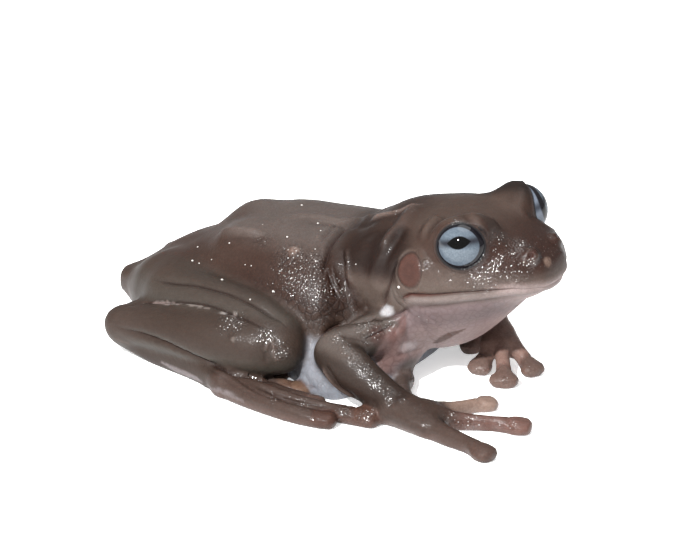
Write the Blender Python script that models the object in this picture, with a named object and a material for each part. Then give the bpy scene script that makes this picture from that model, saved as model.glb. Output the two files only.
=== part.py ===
"""White's tree frog at life size, crouched on belly, hands and feet, with its head turned to its right.

The tables are in millimetres for a frog of 80 mm from snout to vent. X runs forward from the vent,
Y to the frog's left and Z up from the ground. Each sub-part is modelled whole, and where two meet
the later one is cut back by a slightly grown twin of the earlier one, which leaves a thin even gap.
"""
import math

import bmesh
import bpy
import numpy as np
from mathutils import Matrix, Vector
from mathutils.bvhtree import BVHTree

# driving sizes
BODY_LENGTH = 0.080
MM = BODY_LENGTH / 80.0
GAP = 0.32
GROUND_DEPTH = 8.0
REACH = 200.0

# the head's own frame: its origin between the jaw joints, then turn, tilt and roll in degrees
HEAD_ORIGIN = (52.5, 2.3, 17.4)
HEAD_TURN = (-12.0, 6.0, 3.0)
LIP_LEVEL = 0.6

# trunk: x, y, level of the widest line, heading and pitch in degrees, half width, height, depth
TRUNK = (
    (0.8, 0.2, 7.3, 12, 0, 2.4, 1.7, 2.2),
    (4.0, 0.9, 6.8, 12, 0, 5.4, 3.4, 4.2),
    (9.0, 1.9, 6.3, 12, 2, 9.0, 6.6, 5.8),
    (15.0, 3.0, 5.8, 10, 4, 11.6, 10.0, 7.2),
    (21.0, 3.9, 5.4, 8, 6, 14.0, 13.8, 8.0),
    (29.0, 4.4, 5.0, 4, 9, 16.6, 16.05, 8.6),
    (37.0, 4.2, 4.6, 0, 13, 18.4, 16.55, 8.8),
    (44.0, 3.6, 4.8, -5, 18, 18.0, 16.8, 8.6),
    (48.6, 2.8, 6.0, -9, 24, 14.2, 15.4, 6.6),
)
TRUNK_SQUARENESS = (2.7, 2.7)
# where the trunk swells: the two blunt corners of the pelvis and the belly that spreads beside each elbow
SWELLINGS = (
    ((22.0, -3.2, 19.5), 6.5, (0.0, 0.0, 1.0)),
    ((18.6, 9.6, 18.5), 6.5, (0.0, 0.0, 1.0)),
    ((43.0, -13.4, 1.2), 9.5, (0.8, -4.4, 0.0)),
    ((43.5, 19.6, 1.5), 9.0, (0.6, 1.6, 0.0)),
    ((50.5, -10.0, 1.5), 7.5, (1.6, -2.2, 0.0)),
)

# head: forward of the origin, half width, level of the crown, level of the throat
HEAD = (
    (-9.0, 10.6, 6.5, -9.0),
    (-5.0, 12.6, 8.2, -12.4),
    (0.0, 13.4, 9.0, -14.0),
    (5.0, 13.5, 9.5, -13.2),
    (9.0, 12.9, 9.4, -11.1),
    (13.0, 11.5, 8.4, -7.8),
    (17.0, 9.3, 6.7, -4.4),
    (20.0, 6.9, 4.9, -3.0),
    (21.6, 4.3, 3.3, -2.0),
)
HEAD_SQUARENESS = (2.35, 1.95)

# mouth: the parting seen from the side, from in front of the snout to behind the jaw's joint
MOUTH_LINE = ((34.0, -0.2), (24.0, -0.1), (14.0, 0.0), (6.0, -0.2), (3.6, -1.4), (0.0, -6.0), (-8.0, -15.0))
MOUTH_CLEARANCE = 0.3

# eyes, eardrums and nostrils, in the head's frame for its left side
EYE_CENTRE = (11.5, 8.0, 6.5)
LEFT_EYE_SHIFT = (0.6, 0.1, -0.25)
EYE_RADIUS = 4.1
EYE_LOOK = (0.22, 0.94, 0.22)
# each ring of the lids: out from the eye's centre, half width, height, depth
LID_DOME = (
    (-5.6, 2.4, 1.4, 2.0),
    (-3.9, 4.3, 3.1, 3.6),
    (-1.6, 5.2, 4.4, 4.7),
    (0.6, 5.1, 4.7, 4.7),
    (1.7, 4.7, 4.4, 4.4),
    (2.3, 4.2, 4.0, 4.0),
)
EARDRUM_CENTRE = (3.9, 13.2, 3.6)
EARDRUM_RADII = (2.1, 2.5, 0.75)
NOSTRIL_CENTRE = (20.7, 3.5, 4.2)
NOSTRIL_MOUND = 1.0
NOSTRIL_PIT = 0.5

# limbs: point, half width, height and depth of each ring, on the frog's right
UPPER_ARM = (
    ((49.4, -4.6, 10.2), 3.1, 2.9, 3.2),
    ((48.2, -11.0, 9.4), 3.3, 3.0, 3.3),
    ((44.8, -15.9, 8.4), 2.9, 3.1, 3.1),
)
FOREARM = (
    ((43.6, -16.9, 7.7), 2.7, 3.1, 3.2),
    ((47.1, -18.6, 6.5), 3.2, 3.6, 3.8),
    ((51.6, -20.2, 4.9), 2.7, 2.9, 3.1),
    ((56.0, -21.4, 3.3), 2.4, 2.2, 2.7),
)
PALM = (
    ((55.6, -21.5, 3.0), 2.6, 2.0, 3.4),
    ((59.6, -21.9, 2.4), 3.8, 1.9, 2.8),
    ((62.6, -22.5, 2.1), 3.9, 1.5, 2.5),
)
FINGERS = (
    (((57.4, -20.2, 2.6), 1.5, 1.4, 2.8), ((55.4, -16.2, 2.2), 1.15, 1.2, 2.5), ((53.6, -12.4, 2.0), 1.1, 1.1, 2.3),
     ((52.6, -9.8, 1.7), 1.7, 1.1, 2.0), ((52.3, -8.6, 1.6), 1.6, 1.0, 1.9)),
    (((60.0, -19.4, 2.2), 1.5, 1.2, 2.6), ((63.3, -15.9, 1.6), 1.05, 0.95, 1.9), ((65.2, -13.5, 1.4), 0.9, 0.9, 1.7),
     ((66.4, -12.0, 1.2), 1.8, 0.9, 1.6), ((67.3, -11.1, 1.1), 1.8, 0.8, 1.4)),
    (((61.4, -21.4, 2.2), 1.5, 1.3, 2.6), ((66.2, -19.7, 1.7), 1.1, 1.0, 2.0), ((70.8, -18.4, 1.45), 0.95, 0.95, 1.75),
     ((73.4, -17.7, 1.3), 2.1, 1.0, 1.7), ((74.9, -17.3, 1.2), 2.1, 0.9, 1.5)),
    (((61.4, -23.6, 2.2), 1.7, 1.3, 2.6), ((65.6, -25.7, 1.8), 1.3, 1.2, 2.1), ((69.4, -27.1, 1.6), 1.05, 1.1, 1.9),
     ((71.7, -28.1, 1.3), 1.9, 1.0, 1.7), ((73.0, -28.7, 1.2), 1.9, 0.9, 1.5)),
)
# the left arm is drawn in under the throat, with the fingers pointing to the frog's right
UPPER_ARM_LEFT = (
    ((51.0, 8.0, 11.0), 3.6, 3.4, 3.4),
    ((50.0, 14.0, 9.8), 3.4, 3.2, 3.2),
    ((49.3, 19.2, 8.2), 3.1, 3.2, 3.2),
)
FOREARM_LEFT = (
    ((49.2, 19.8, 7.6), 2.8, 3.2, 3.2),
    ((52.0, 17.8, 7.4), 3.5, 3.7, 3.9),
    ((56.4, 14.4, 6.6), 3.0, 3.1, 3.2),
    ((59.4, 10.9, 5.2), 2.3, 2.2, 2.6),
)
PALM_LEFT = (
    ((59.4, 10.9, 5.0), 2.3, 2.0, 2.5),
    ((61.8, 7.6, 4.2), 2.8, 1.7, 2.1),
    ((63.0, 4.6, 3.2), 3.2, 1.5, 2.0),
)
FINGERS_LEFT = (
    (((60.8, 9.0, 4.2), 1.3, 1.3, 1.7), ((59.0, 8.2, 2.9), 1.1, 1.1, 1.6), ((57.4, 7.6, 1.8), 1.5, 1.0, 2.0),
     ((56.7, 7.3, 1.5), 1.4, 0.9, 1.8)),
    (((62.0, 5.8, 3.6), 1.3, 1.3, 1.7), ((61.6, 3.2, 2.5), 1.05, 1.1, 1.5), ((61.3, 1.2, 1.5), 1.9, 1.0, 1.9),
     ((61.2, 0.2, 1.2), 2.0, 0.9, 1.6)),
    (((63.4, 5.0, 3.4), 1.4, 1.4, 1.8), ((64.7, 1.6, 2.6), 1.1, 1.2, 1.6), ((65.9, -1.2, 1.6), 1.4, 1.1, 2.0),
     ((66.3, -2.4, 1.3), 2.4, 1.0, 1.7), ((66.5, -3.1, 1.2), 2.3, 0.9, 1.6)),
    (((64.4, 6.1, 3.4), 1.4, 1.4, 1.8), ((66.5, 4.9, 2.5), 1.1, 1.2, 1.6), ((68.0, 3.9, 1.7), 1.3, 1.1, 2.0),
     ((68.8, 3.2, 1.4), 2.0, 1.0, 1.7), ((69.4, 2.7, 1.3), 2.0, 0.9, 1.6)),
)
THIGH = (
    ((10.0, -4.7, 8.5), 4.0, 4.3, 4.3),
    ((15.0, -8.4, 9.0), 5.0, 5.2, 5.2),
    ((24.2, -12.2, 9.0), 5.2, 5.4, 5.2),
    ((30.8, -14.2, 8.7), 4.7, 5.0, 4.8),
    ((34.2, -15.2, 8.2), 3.8, 4.1, 4.0),
)
SHANK = (
    ((35.2, -16.8, 7.2), 3.8, 4.0, 4.2),
    ((31.5, -17.4, 7.0), 4.6, 4.8, 4.8),
    ((24.5, -16.9, 6.8), 4.6, 4.7, 4.6),
    ((15.5, -15.2, 6.2), 3.5, 3.7, 3.6),
    ((6.8, -13.8, 5.6), 2.7, 2.7, 2.8),
)
TARSUS = (
    ((6.9, -12.9, 4.1), 2.1, 2.2, 2.9),
    ((13.4, -14.6, 2.8), 1.9, 2.4, 3.0),
    ((21.5, -17.6, 2.6), 2.2, 2.4, 2.85),
    ((28.6, -20.8, 2.4), 2.8, 2.3, 2.75),
)
TOES = (
    (((25.0, -18.8, 2.2), 1.3, 1.5, 2.8), ((28.0, -16.8, 1.6), 1.0, 1.1, 2.1), ((31.4, -15.4, 1.4), 0.9, 1.0, 1.8),
     ((33.4, -14.8, 1.1), 1.5, 0.9, 1.6), ((34.2, -14.6, 1.0), 1.4, 0.8, 1.4)),
    (((27.0, -19.4, 2.2), 1.4, 1.6, 2.8), ((31.4, -18.3, 1.7), 1.1, 1.2, 2.1), ((35.4, -17.6, 1.4), 0.95, 1.0, 1.8),
     ((38.2, -17.3, 1.1), 1.7, 0.9, 1.6), ((39.2, -17.2, 1.0), 1.6, 0.8, 1.4)),
    (((28.0, -20.0, 2.3), 1.5, 1.7, 2.8), ((33.0, -20.4, 1.9), 1.3, 1.4, 2.2), ((38.0, -20.9, 1.5), 1.1, 1.1, 1.9),
     ((42.0, -21.2, 1.2), 1.6, 1.0, 1.6), ((43.4, -21.2, 1.1), 1.6, 0.9, 1.5)),
    (((28.0, -21.0, 2.4), 1.8, 1.8, 2.8), ((34.0, -22.6, 2.1), 1.4, 1.6, 2.4), ((42.0, -23.7, 1.7), 1.2, 1.3, 2.1),
     ((48.8, -23.8, 1.4), 1.5, 1.2, 1.8), ((52.9, -23.5, 1.3), 2.1, 1.3, 1.7)),
    (((27.4, -21.8, 2.3), 1.6, 1.8, 2.6), ((33.0, -24.3, 2.0), 1.4, 1.6, 2.2), ((40.5, -26.6, 1.7), 1.2, 1.3, 1.95),
     ((45.2, -26.8, 1.4), 1.6, 1.1, 1.65), ((47.3, -26.5, 1.3), 1.8, 1.1, 1.5)),
)
LEG_MIRROR_HEADING = 8.0
LEFT_HIP_SHIFT = (2.6, -0.6, -2.4)
# webs: between which toes, and how far along them they reach
TOE_WEB_REACH = 0.62
FINGER_WEB_REACH = 0.28
WEB_THICKNESS = 0.7

# facets
TRUNK_SIDES, HEAD_SIDES, LIMB_SIDES, DIGIT_SIDES = 30, 30, 14, 8
LID_SIDES = 18
STEPS = 2
END_RINGS = 2
SHORTEST_EDGE = 0.06

# finishes: colour, roughness
FINISHES = {
    "skin_back": ((0.155, 0.120, 0.103), 0.42),
    "skin_throat": ((0.360, 0.290, 0.290), 0.45),
    "skin_limb": ((0.098, 0.078, 0.066), 0.40),
    "skin_pads": ((0.230, 0.150, 0.125), 0.38),
    "eye": ((0.300, 0.330, 0.370), 0.08),
    "eardrum": ((0.155, 0.085, 0.067), 0.45),
}


def unit(vectors):
    """Vectors scaled to length one along the last axis."""
    vectors = np.asarray(vectors, float)
    return vectors / np.maximum(np.linalg.norm(vectors, axis=-1, keepdims=True), 1e-9)


def axes(turn, tilt=0.0, roll=0.0):
    """Forward, left and up vectors of a frame turned about Z, tilted up and rolled, in degrees."""
    a, b, c = np.radians([turn, tilt, roll])
    forward = np.array([np.cos(b) * np.cos(a), np.cos(b) * np.sin(a), np.sin(b)])
    left = np.array([-np.sin(a), np.cos(a), 0.0])
    up = np.cross(forward, left)
    return np.array([forward, left * np.cos(c) + up * np.sin(c), up * np.cos(c) - left * np.sin(c)])


HEAD_AXES = axes(*HEAD_TURN)


def in_head(forward, left, up):
    """A point of the head's frame as a point of the frog."""
    return np.array(HEAD_ORIGIN) + np.array([forward, left, up], float) @ HEAD_AXES


def smooth(rows, steps):
    """A Catmull-Rom curve through the rows, each a point together with its sizes."""
    rows = np.asarray(rows, float)
    padded = np.vstack([2 * rows[0] - rows[1], rows, 2 * rows[-1] - rows[-2]])
    made = []
    for i in range(1, len(padded) - 2):
        a, b, c, d = padded[i - 1:i + 3]
        for t in np.arange(steps) / steps:
            made.append(0.5 * (2 * b + (c - a) * t + (2 * a - 5 * b + 4 * c - d) * t ** 2
                               + (3 * b - a - 3 * c + d) * t ** 3))
    made.append(padded[-2])
    return np.array(made)


def rounded_end(row, direction, depth):
    """Shrinking rings that close a loft's end as a dome of the given depth."""
    rings = []
    for k in range(1, END_RINGS + 1):
        angle = math.pi / 2 * k / (END_RINGS + 0.4)
        ring = row.copy()
        ring[:3] += direction * row[3:6] * depth * math.sin(angle)
        ring[12:15] = row[12:15] * math.cos(angle)
        rings.append(ring)
    return rings


def place_ring(verts, row, squareness):
    """Sets a ring's vertices on a station's superellipse, whose upper and lower halves may differ in squareness."""
    centre, _, left, up = row[:3], row[3:6], unit(row[6:9]), unit(row[9:12])
    for k, vert in enumerate(verts):
        angle = 2 * math.pi * k / len(verts)
        across, rise = math.cos(angle), math.sin(angle)
        half, power = (row[13], squareness[0]) if rise > 0 else (row[14], squareness[1])
        across = math.copysign(abs(across) ** (2 / power), across) * row[12]
        rise = math.copysign(abs(rise) ** (2 / power), rise) * half
        vert.co = Vector((centre + left * across + up * rise) * MM)


def extruded_ring(bm, ring):
    """Extrudes a closed ring of vertices and returns the new ring in the same order."""
    edges = [bm.edges.get((a, b)) for a, b in zip(ring, ring[1:] + ring[:1])]
    made = bmesh.ops.extrude_edge_only(bm, edges=edges)["geom"]
    new = {item for item in made if isinstance(item, bmesh.types.BMVert)}
    return [next(e.other_vert(v) for e in v.link_edges if e.other_vert(v) in new) for v in ring]


def to_object(bm, name):
    """Turns a bmesh into an object of the scene, faces outwards."""
    bmesh.ops.recalc_face_normals(bm, faces=bm.faces)
    mesh = bpy.data.meshes.new(name)
    bm.to_mesh(mesh)
    bm.free()
    made = bpy.data.objects.new(name, mesh)
    bpy.context.scene.collection.objects.link(made)
    return made


def loft(name, stations, sides, squareness=(2.0, 2.0), ends=(1.0, 1.0), steps=STEPS):
    """A closed skin extruded ring by ring through smoothed stations, with domed ends."""
    rows = smooth(stations, steps)
    depths = [end * min(row[12], 0.5 * (row[13] + row[14])) for end, row in zip(ends, (rows[0], rows[-1]))]
    rows = rounded_end(rows[0], -1, depths[0])[::-1] + list(rows) + rounded_end(rows[-1], 1, depths[1])
    bm = bmesh.new()
    ring = bmesh.ops.create_circle(bm, segments=sides, radius=1.0)["verts"]
    place_ring(ring, rows[0], squareness)
    first = ring
    for row in rows[1:]:
        ring = extruded_ring(bm, ring)
        place_ring(ring, row, squareness)
    for end in (first, ring):
        bmesh.ops.poke(bm, faces=[bm.faces.new(end)])
    return to_object(bm, name)


def limb_stations(rows):
    """Stations for a limb: each ring square to the way the limb runs, its height kept upright."""
    points = np.array([row[0] for row in rows], float)
    sizes = np.array([row[1:] for row in rows], float)
    forward = unit(np.gradient(points, axis=0))
    left = unit(np.cross((0.0, 0.0, 1.0), forward))
    return np.hstack([points, forward, left, np.cross(forward, left), sizes])


def limb(name, rows, sides=LIMB_SIDES, ends=(1.0, 1.0)):
    """A limb or a digit, round in section."""
    return loft(name, limb_stations(rows), sides, ends=ends)


def web(name, first, second, reach):
    """A thin sheet between two digits, from their roots to a share of the shorter one."""
    one, two = (smooth([[*p, *sizes] for p, *sizes in rows], 4)[:, :3] for rows in (first, second))
    count = int(reach * min(len(one), len(two)))
    rows = []
    for a, b in zip(one[:count], two[:count]):
        middle = (a + b) / 2 - (0.0, 0.0, 0.3)
        rows.append((tuple(middle), np.linalg.norm(a - b) / 2 + 0.2, WEB_THICKNESS / 2, WEB_THICKNESS / 2))
    return loft(name, limb_stations(rows[::2]), 8, (2.6, 2.6), (0.3, 0.3), 1)


def ball(name, centre, radii, frame=np.eye(3), segments=20, rings=12):
    """An ellipsoid with its poles along the frame's last axis."""
    bm = bmesh.new()
    bmesh.ops.create_uvsphere(bm, u_segments=segments, v_segments=rings, radius=1.0)
    columns = (np.asarray(radii, float)[:, None] * np.asarray(frame)).T * MM
    place = Matrix.Translation(Vector(np.asarray(centre, float) * MM)) @ Matrix(columns.tolist()).to_4x4()
    bmesh.ops.transform(bm, matrix=place, verts=bm.verts)
    return to_object(bm, name)


def slab(name, outline, half_width):
    """A closed block: an outline in the head's side view, extruded across the head."""
    bm = bmesh.new()
    verts = [bm.verts.new(Vector(in_head(f, -half_width, u) * MM)) for f, u in outline]
    face = bm.faces.new(verts)
    made = bmesh.ops.extrude_face_region(bm, geom=[face])["geom"]
    shift = Vector(HEAD_AXES[1] * 2 * half_width * MM)
    bmesh.ops.translate(bm, vec=shift, verts=[v for v in made if isinstance(v, bmesh.types.BMVert)])
    bmesh.ops.triangulate(bm, faces=bm.faces)
    return to_object(bm, name)


def ground():
    """The ground as a block whose top is at Z = 0."""
    bm = bmesh.new()
    bmesh.ops.create_cube(bm, size=1.0)
    bmesh.ops.scale(bm, vec=Vector((REACH, REACH, GROUND_DEPTH)) * MM, verts=bm.verts)
    bmesh.ops.translate(bm, vec=Vector((REACH * 0.2, 0.0, -GROUND_DEPTH / 2)) * MM, verts=bm.verts)
    return to_object(bm, "ground_cutter")


def discard(objects):
    """Removes objects that have done their work."""
    for piece in objects:
        bpy.data.objects.remove(piece)


def applied(piece):
    """Applies an object's modifiers by taking its evaluated mesh."""
    graph = bpy.context.evaluated_depsgraph_get()
    mesh = bpy.data.meshes.new_from_object(piece.evaluated_get(graph))
    piece.modifiers.clear()
    piece.data = mesh
    return piece


def keep_largest(piece):
    """Keeps an object's largest closed surface."""
    bm = bmesh.new()
    bm.from_mesh(piece.data)
    left, shells = set(bm.verts), []
    while left:
        shell, edge = set(), [left.pop()]
        while edge:
            vert = edge.pop()
            shell.add(vert)
            near = {e.other_vert(vert) for e in vert.link_edges} & left
            left -= near
            edge.extend(near)
        shells.append(shell)
    shells.sort(key=lambda shell: -sum(face.calc_area() for v in shell for face in v.link_faces))
    bmesh.ops.delete(bm, geom=[v for shell in shells[1:] for v in shell], context="VERTS")
    bm.to_mesh(piece.data)
    bm.free()
    return piece


def cleaned(piece):
    """Draws together the tiny edges that a cut leaves, and keeps the result only if it is still closed."""
    bm = bmesh.new()
    bm.from_mesh(piece.data)
    bmesh.ops.remove_doubles(bm, verts=bm.verts, dist=SHORTEST_EDGE * MM)
    bmesh.ops.dissolve_degenerate(bm, edges=bm.edges, dist=SHORTEST_EDGE * MM / 4)
    bmesh.ops.triangulate(bm, faces=bm.faces)
    if all(edge.is_manifold for edge in bm.edges):
        bm.to_mesh(piece.data)
    bm.free()
    return piece


def closed(piece):
    """Whether each edge of an object's mesh lies between exactly two faces."""
    bm = bmesh.new()
    bm.from_mesh(piece.data)
    whole = all(edge.is_manifold for edge in bm.edges)
    bm.free()
    return whole


def boolean(piece, others, operation):
    """One Boolean of an object with a collection of closed objects, applied."""
    group = bpy.data.collections.new("boolean_group")
    bpy.context.scene.collection.children.link(group)
    for other in others:
        group.objects.link(other)
    uncut = piece.data
    for solver in ("EXACT", "MANIFOLD"):
        piece.data = uncut
        modifier = piece.modifiers.new("boolean", "BOOLEAN")
        modifier.operation = operation
        modifier.solver = solver
        modifier.operand_type = "COLLECTION"
        modifier.collection = group
        applied(piece)
        if closed(piece):
            break
    bpy.data.collections.remove(group)
    return piece


def fused(name, pieces):
    """One closed body made of overlapping pieces."""
    body = boolean(pieces[0], pieces[1:], "UNION")
    discard(pieces[1:])
    body.name = name
    return body


def swell(piece, centre, reach, push):
    """Pushes the surface round a point out in a smooth hump."""
    for vert in piece.data.vertices:
        near = 1 - ((vert.co / MM - Vector(centre)).length / reach) ** 2
        if near > 0:
            vert.co += Vector(push) * MM * near ** 2


def grown(piece, by=GAP):
    """A twin of an object, its surface moved out by a distance."""
    twin = piece.copy()
    twin.data = piece.data.copy()
    bpy.context.scene.collection.objects.link(twin)
    displace = twin.modifiers.new("grow", "DISPLACE")
    displace.strength = by * MM
    displace.mid_level = 0.0
    return applied(twin)


def surface_point(piece, point):
    """The nearest point of an object's surface and the way it faces there, in table units."""
    tree = BVHTree.FromObject(piece, bpy.context.evaluated_depsgraph_get())
    spot, normal, _, _ = tree.find_nearest(Vector(np.asarray(point, float) * MM))
    return np.array(spot) / MM, np.array(normal)


def facing_frame(normal):
    """A frame whose last axis is the given direction and whose second leans up."""
    side = unit(np.cross((0.0, 0.0, 1.0), normal))
    return np.array([side, np.cross(normal, side), normal])


def trunk():
    """The trunk, from the vent to the shoulders, its belly pressed flat on the ground."""
    stations = []
    for x, y, level, heading, pitch, width, height, depth in TRUNK:
        stations.append([x, y, level, *axes(heading, pitch).ravel(), width, height, depth])
    body = loft("torso", stations, TRUNK_SIDES, TRUNK_SQUARENESS, (0.4, 0.3))
    for centre, reach, push in SWELLINGS:
        swell(body, centre, reach, push)
    return body


def head_side(side, value):
    """A point or direction of the head for one side: 1 is its left, -1 its right."""
    forward, left, up = value
    return forward, side * left, up


def eye_centre(side):
    """The centre of an eye; the left one sits a little further forward and lower."""
    centre = np.array(EYE_CENTRE) + (np.array(LEFT_EYE_SHIFT) if side > 0 else 0.0)
    return in_head(*head_side(side, centre))


def eye_look(side):
    """The direction in which an eye faces."""
    return unit(np.array(head_side(side, EYE_LOOK)) @ HEAD_AXES)


def lid_dome(name, side):
    """The lids of one eye: a low dome round the eyeball, open in front of it."""
    centre = eye_centre(side)
    look = eye_look(side)
    left = unit(np.cross(HEAD_AXES[2], look))
    up = np.cross(look, left)
    stations = [[*(centre + look * out), *look, *left, *up, width, height, depth]
                for out, width, height, depth in LID_DOME]
    return loft(name, stations, LID_SIDES, ends=(0.3, 0.04), steps=1)


def skull():
    """The whole head with lids and nostril mounds, not yet parted at the mouth."""
    stations = []
    for forward, width, crown, throat in HEAD:
        place = in_head(forward, 0.0, LIP_LEVEL)
        stations.append([*place, *HEAD_AXES.ravel(), width, crown - LIP_LEVEL, LIP_LEVEL - throat])
    bare = loft("skull", stations, HEAD_SIDES, HEAD_SQUARENESS, (0.3, 0.42))
    pieces = [bare]
    for side in (-1, 1):
        pieces.append(lid_dome("lids", side))
        spot, facing = surface_point(bare, in_head(*head_side(side, NOSTRIL_CENTRE)))
        mound = (NOSTRIL_MOUND, NOSTRIL_MOUND, NOSTRIL_MOUND * 0.8)
        pieces.append(ball("nostril", spot - facing * 0.35, mound, facing_frame(facing), 10, 8))
    return fused("head", pieces)


def face_details(whole):
    """Eyeballs and eardrums, with the cutters for their sockets and for the nostrils."""
    details, cutters = {}, []
    for side, word in ((-1, "right"), (1, "left")):
        eye = ball("eye_" + word, eye_centre(side), (EYE_RADIUS,) * 3,
                   facing_frame(eye_look(side)), 18, 10)
        spot, facing = surface_point(whole, in_head(*head_side(side, EARDRUM_CENTRE)))
        drum = ball("eardrum_" + word, spot - facing * 0.3, EARDRUM_RADII, facing_frame(facing), 16, 6)
        details[eye.name], details[drum.name] = eye, drum
        cutters += [grown(eye), grown(drum)]
        spot, facing = surface_point(whole, in_head(*head_side(side, NOSTRIL_CENTRE)))
        cutters.append(ball("pit", spot, (NOSTRIL_PIT, NOSTRIL_PIT * 1.3, 1.3), facing_frame(facing), 8, 6))
    return details, cutters


def parted_head(whole):
    """Splits the head at the mouth into the upper head and the lower jaw with the throat."""
    half = MOUTH_CLEARANCE / 2
    above = [(f, u - half) for f, u in MOUTH_LINE] + [(-30.0, -15.0), (-30.0, 30.0), (34.0, 30.0)]
    below = [(f, u + half) for f, u in MOUTH_LINE] + [(-8.0, -40.0), (34.0, -40.0)]
    jaw = whole.copy()
    jaw.data = whole.data.copy()
    jaw.name = "lower_jaw"
    bpy.context.scene.collection.objects.link(jaw)
    for piece, outline in ((jaw, above), (whole, below)):
        cutter = slab("mouth_cutter", outline, 30.0)
        boolean(piece, [cutter], "DIFFERENCE")
        discard([cutter])
    return whole, jaw


def hand(name, palm, fingers):
    """A palm with four fingers that end in round pads, joined at their roots by short webs."""
    pieces = [limb(name, palm, LIMB_SIDES, (0.8, 0.5))]
    pieces += [limb("finger", rows, DIGIT_SIDES, (0.8, 0.9)) for rows in fingers]
    pieces += [web("web", a, b, FINGER_WEB_REACH) for a, b in zip(fingers[1:], fingers[2:])]
    return fused(name, pieces)


def foot(name, toes):
    """Five toes with pads, spread from the end of the tarsus and webbed for most of their length."""
    pieces = [limb(name, rows, DIGIT_SIDES, (0.8, 0.9)) for rows in toes]
    pieces += [web("web", a, b, TOE_WEB_REACH) for a, b in zip(toes, toes[1:])]
    return fused(name, pieces)


def mirrored(rows, shift=(0.0, 0.0, 0.0)):
    """Rows of the right leg for the left one, across the plane of its heading, with the root shifted."""
    heading = math.radians(LEG_MIRROR_HEADING)
    along, across = np.array([math.cos(heading), math.sin(heading)]), np.array([-math.sin(heading), math.cos(heading)])
    made = []
    for i, ((x, y, z), width, height, depth) in enumerate(rows):
        flat = np.array([x, y])
        fx, fy = along * (flat @ along) - across * (flat @ across)
        share = 1 - i / (len(rows) - 1)
        moved = np.array([fx, fy, z]) + np.array(shift) * share
        made.append((tuple(moved), width, height, depth))
    return tuple(made)


def limb_pieces():
    """The limb nodes by name, each whole, from the body outwards."""
    made = {}
    arms = (("right", UPPER_ARM, FOREARM, PALM, FINGERS),
            ("left", UPPER_ARM_LEFT, FOREARM_LEFT, PALM_LEFT, FINGERS_LEFT))
    for word, upper, fore, palm, fingers in arms:
        made["upper_arm_" + word] = limb("upper_arm_" + word, upper)
        made["forearm_" + word] = limb("forearm_" + word, fore, ends=(1.0, 0.6))
        made["hand_" + word] = hand("hand_" + word, palm, fingers)
    legs = (("right", THIGH, SHANK, TARSUS, TOES),
            ("left", mirrored(THIGH, LEFT_HIP_SHIFT), mirrored(SHANK), mirrored(TARSUS), [mirrored(t) for t in TOES]))
    for word, thigh, shank, tarsus, toes in legs:
        made["thigh_" + word] = limb("thigh_" + word, thigh)
        made["shank_" + word] = limb("shank_" + word, shank)
        made["tarsus_" + word] = limb("tarsus_" + word, tarsus, ends=(1.0, 0.3))
        made["foot_" + word] = foot("foot_" + word, toes)
    return made


def boxes_meet(one, two, margin=0.5 * MM):
    """Whether two objects' boxes touch or overlap."""
    a, b = (np.array([v.co for v in piece.data.vertices]) for piece in (one, two))
    return bool((a.min(0) < b.max(0) + margin).all() and (b.min(0) < a.max(0) + margin).all())


def finish(piece, slot):
    """Gives a finished node its material and smooth shading."""
    colour, roughness = FINISHES[slot]
    material = bpy.data.materials.get(slot) or bpy.data.materials.new(slot)
    material.use_nodes = True
    shader = material.node_tree.nodes["Principled BSDF"]
    shader.inputs["Base Color"].default_value = (*colour, 1.0)
    shader.inputs["Roughness"].default_value = roughness
    shader.inputs["Metallic"].default_value = 0.0
    piece.data.materials.clear()
    piece.data.materials.append(material)
    piece.data.shade_smooth()
    piece.data.set_sharp_from_angle(angle=math.radians(50))


def slot_of(name):
    """The finish of a node."""
    for start, slot in (("eye_", "eye"), ("eardrum_", "eardrum"), ("hand_", "skin_pads"), ("foot_", "skin_pads"),
                        ("head", "skin_back"), ("torso", "skin_back"), ("lower_jaw", "skin_throat")):
        if name.startswith(start):
            return slot
    return "skin_limb"


def centre_on_ground(pieces):
    """Moves the nodes so that the middle of their box stands over the origin."""
    points = np.vstack([[v.co for v in piece.data.vertices] for piece in pieces])
    middle = (points.min(0) + points.max(0)) / 2
    for piece in pieces:
        piece.data.transform(Matrix.Translation((-middle[0], -middle[1], 0.0)))


def main():
    for old in list(bpy.data.objects):
        bpy.data.objects.remove(old)
    floor_block = ground()
    nodes, twins = {}, {}
    nodes["torso"] = trunk()
    twins["torso"] = grown(nodes["torso"])
    whole_head = skull()
    twins["head"] = grown(whole_head)
    details, face_cutters = face_details(whole_head)
    boolean(whole_head, [twins["torso"]] + face_cutters, "DIFFERENCE")
    discard(face_cutters)
    nodes["head"], nodes["lower_jaw"] = parted_head(whole_head)
    boolean(nodes["torso"], [floor_block], "DIFFERENCE")
    for name, piece in limb_pieces().items():
        twin = grown(piece)
        near = [other for other in twins.values() if boxes_meet(piece, other)]
        boolean(piece, near + [floor_block], "DIFFERENCE")
        twins[name] = twin
        nodes[name] = piece
    nodes.update(details)
    discard(list(twins.values()) + [floor_block])
    for name, piece in nodes.items():
        cleaned(keep_largest(piece))
        piece.name = name
        finish(piece, slot_of(name))
    centre_on_ground(list(nodes.values()))


if __name__ == "__main__":
    main()
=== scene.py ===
"""A life-size White's tree frog with moist brown skin and ice-blue eyes, crouched on a pale studio floor.

Tables are in millimetres for a frog of 80 mm from snout to vent. X runs forward from the vent, Y to the
frog's left and Z up. The parts of the body are drawn as smooth tubes, melted together in a volume, meshed
as one skin, refined where it is detailed, and then folded, dimpled and painted. The eyes are separate, and
small white grains are set on the skin.
"""
import math

import bmesh
import bpy
import numpy as np
import openvdb
from bpy.props import FloatProperty, FloatVectorProperty, IntProperty, PointerProperty
from mathutils import Matrix, Vector, noise
from mathutils.bvhtree import BVHTree


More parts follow.
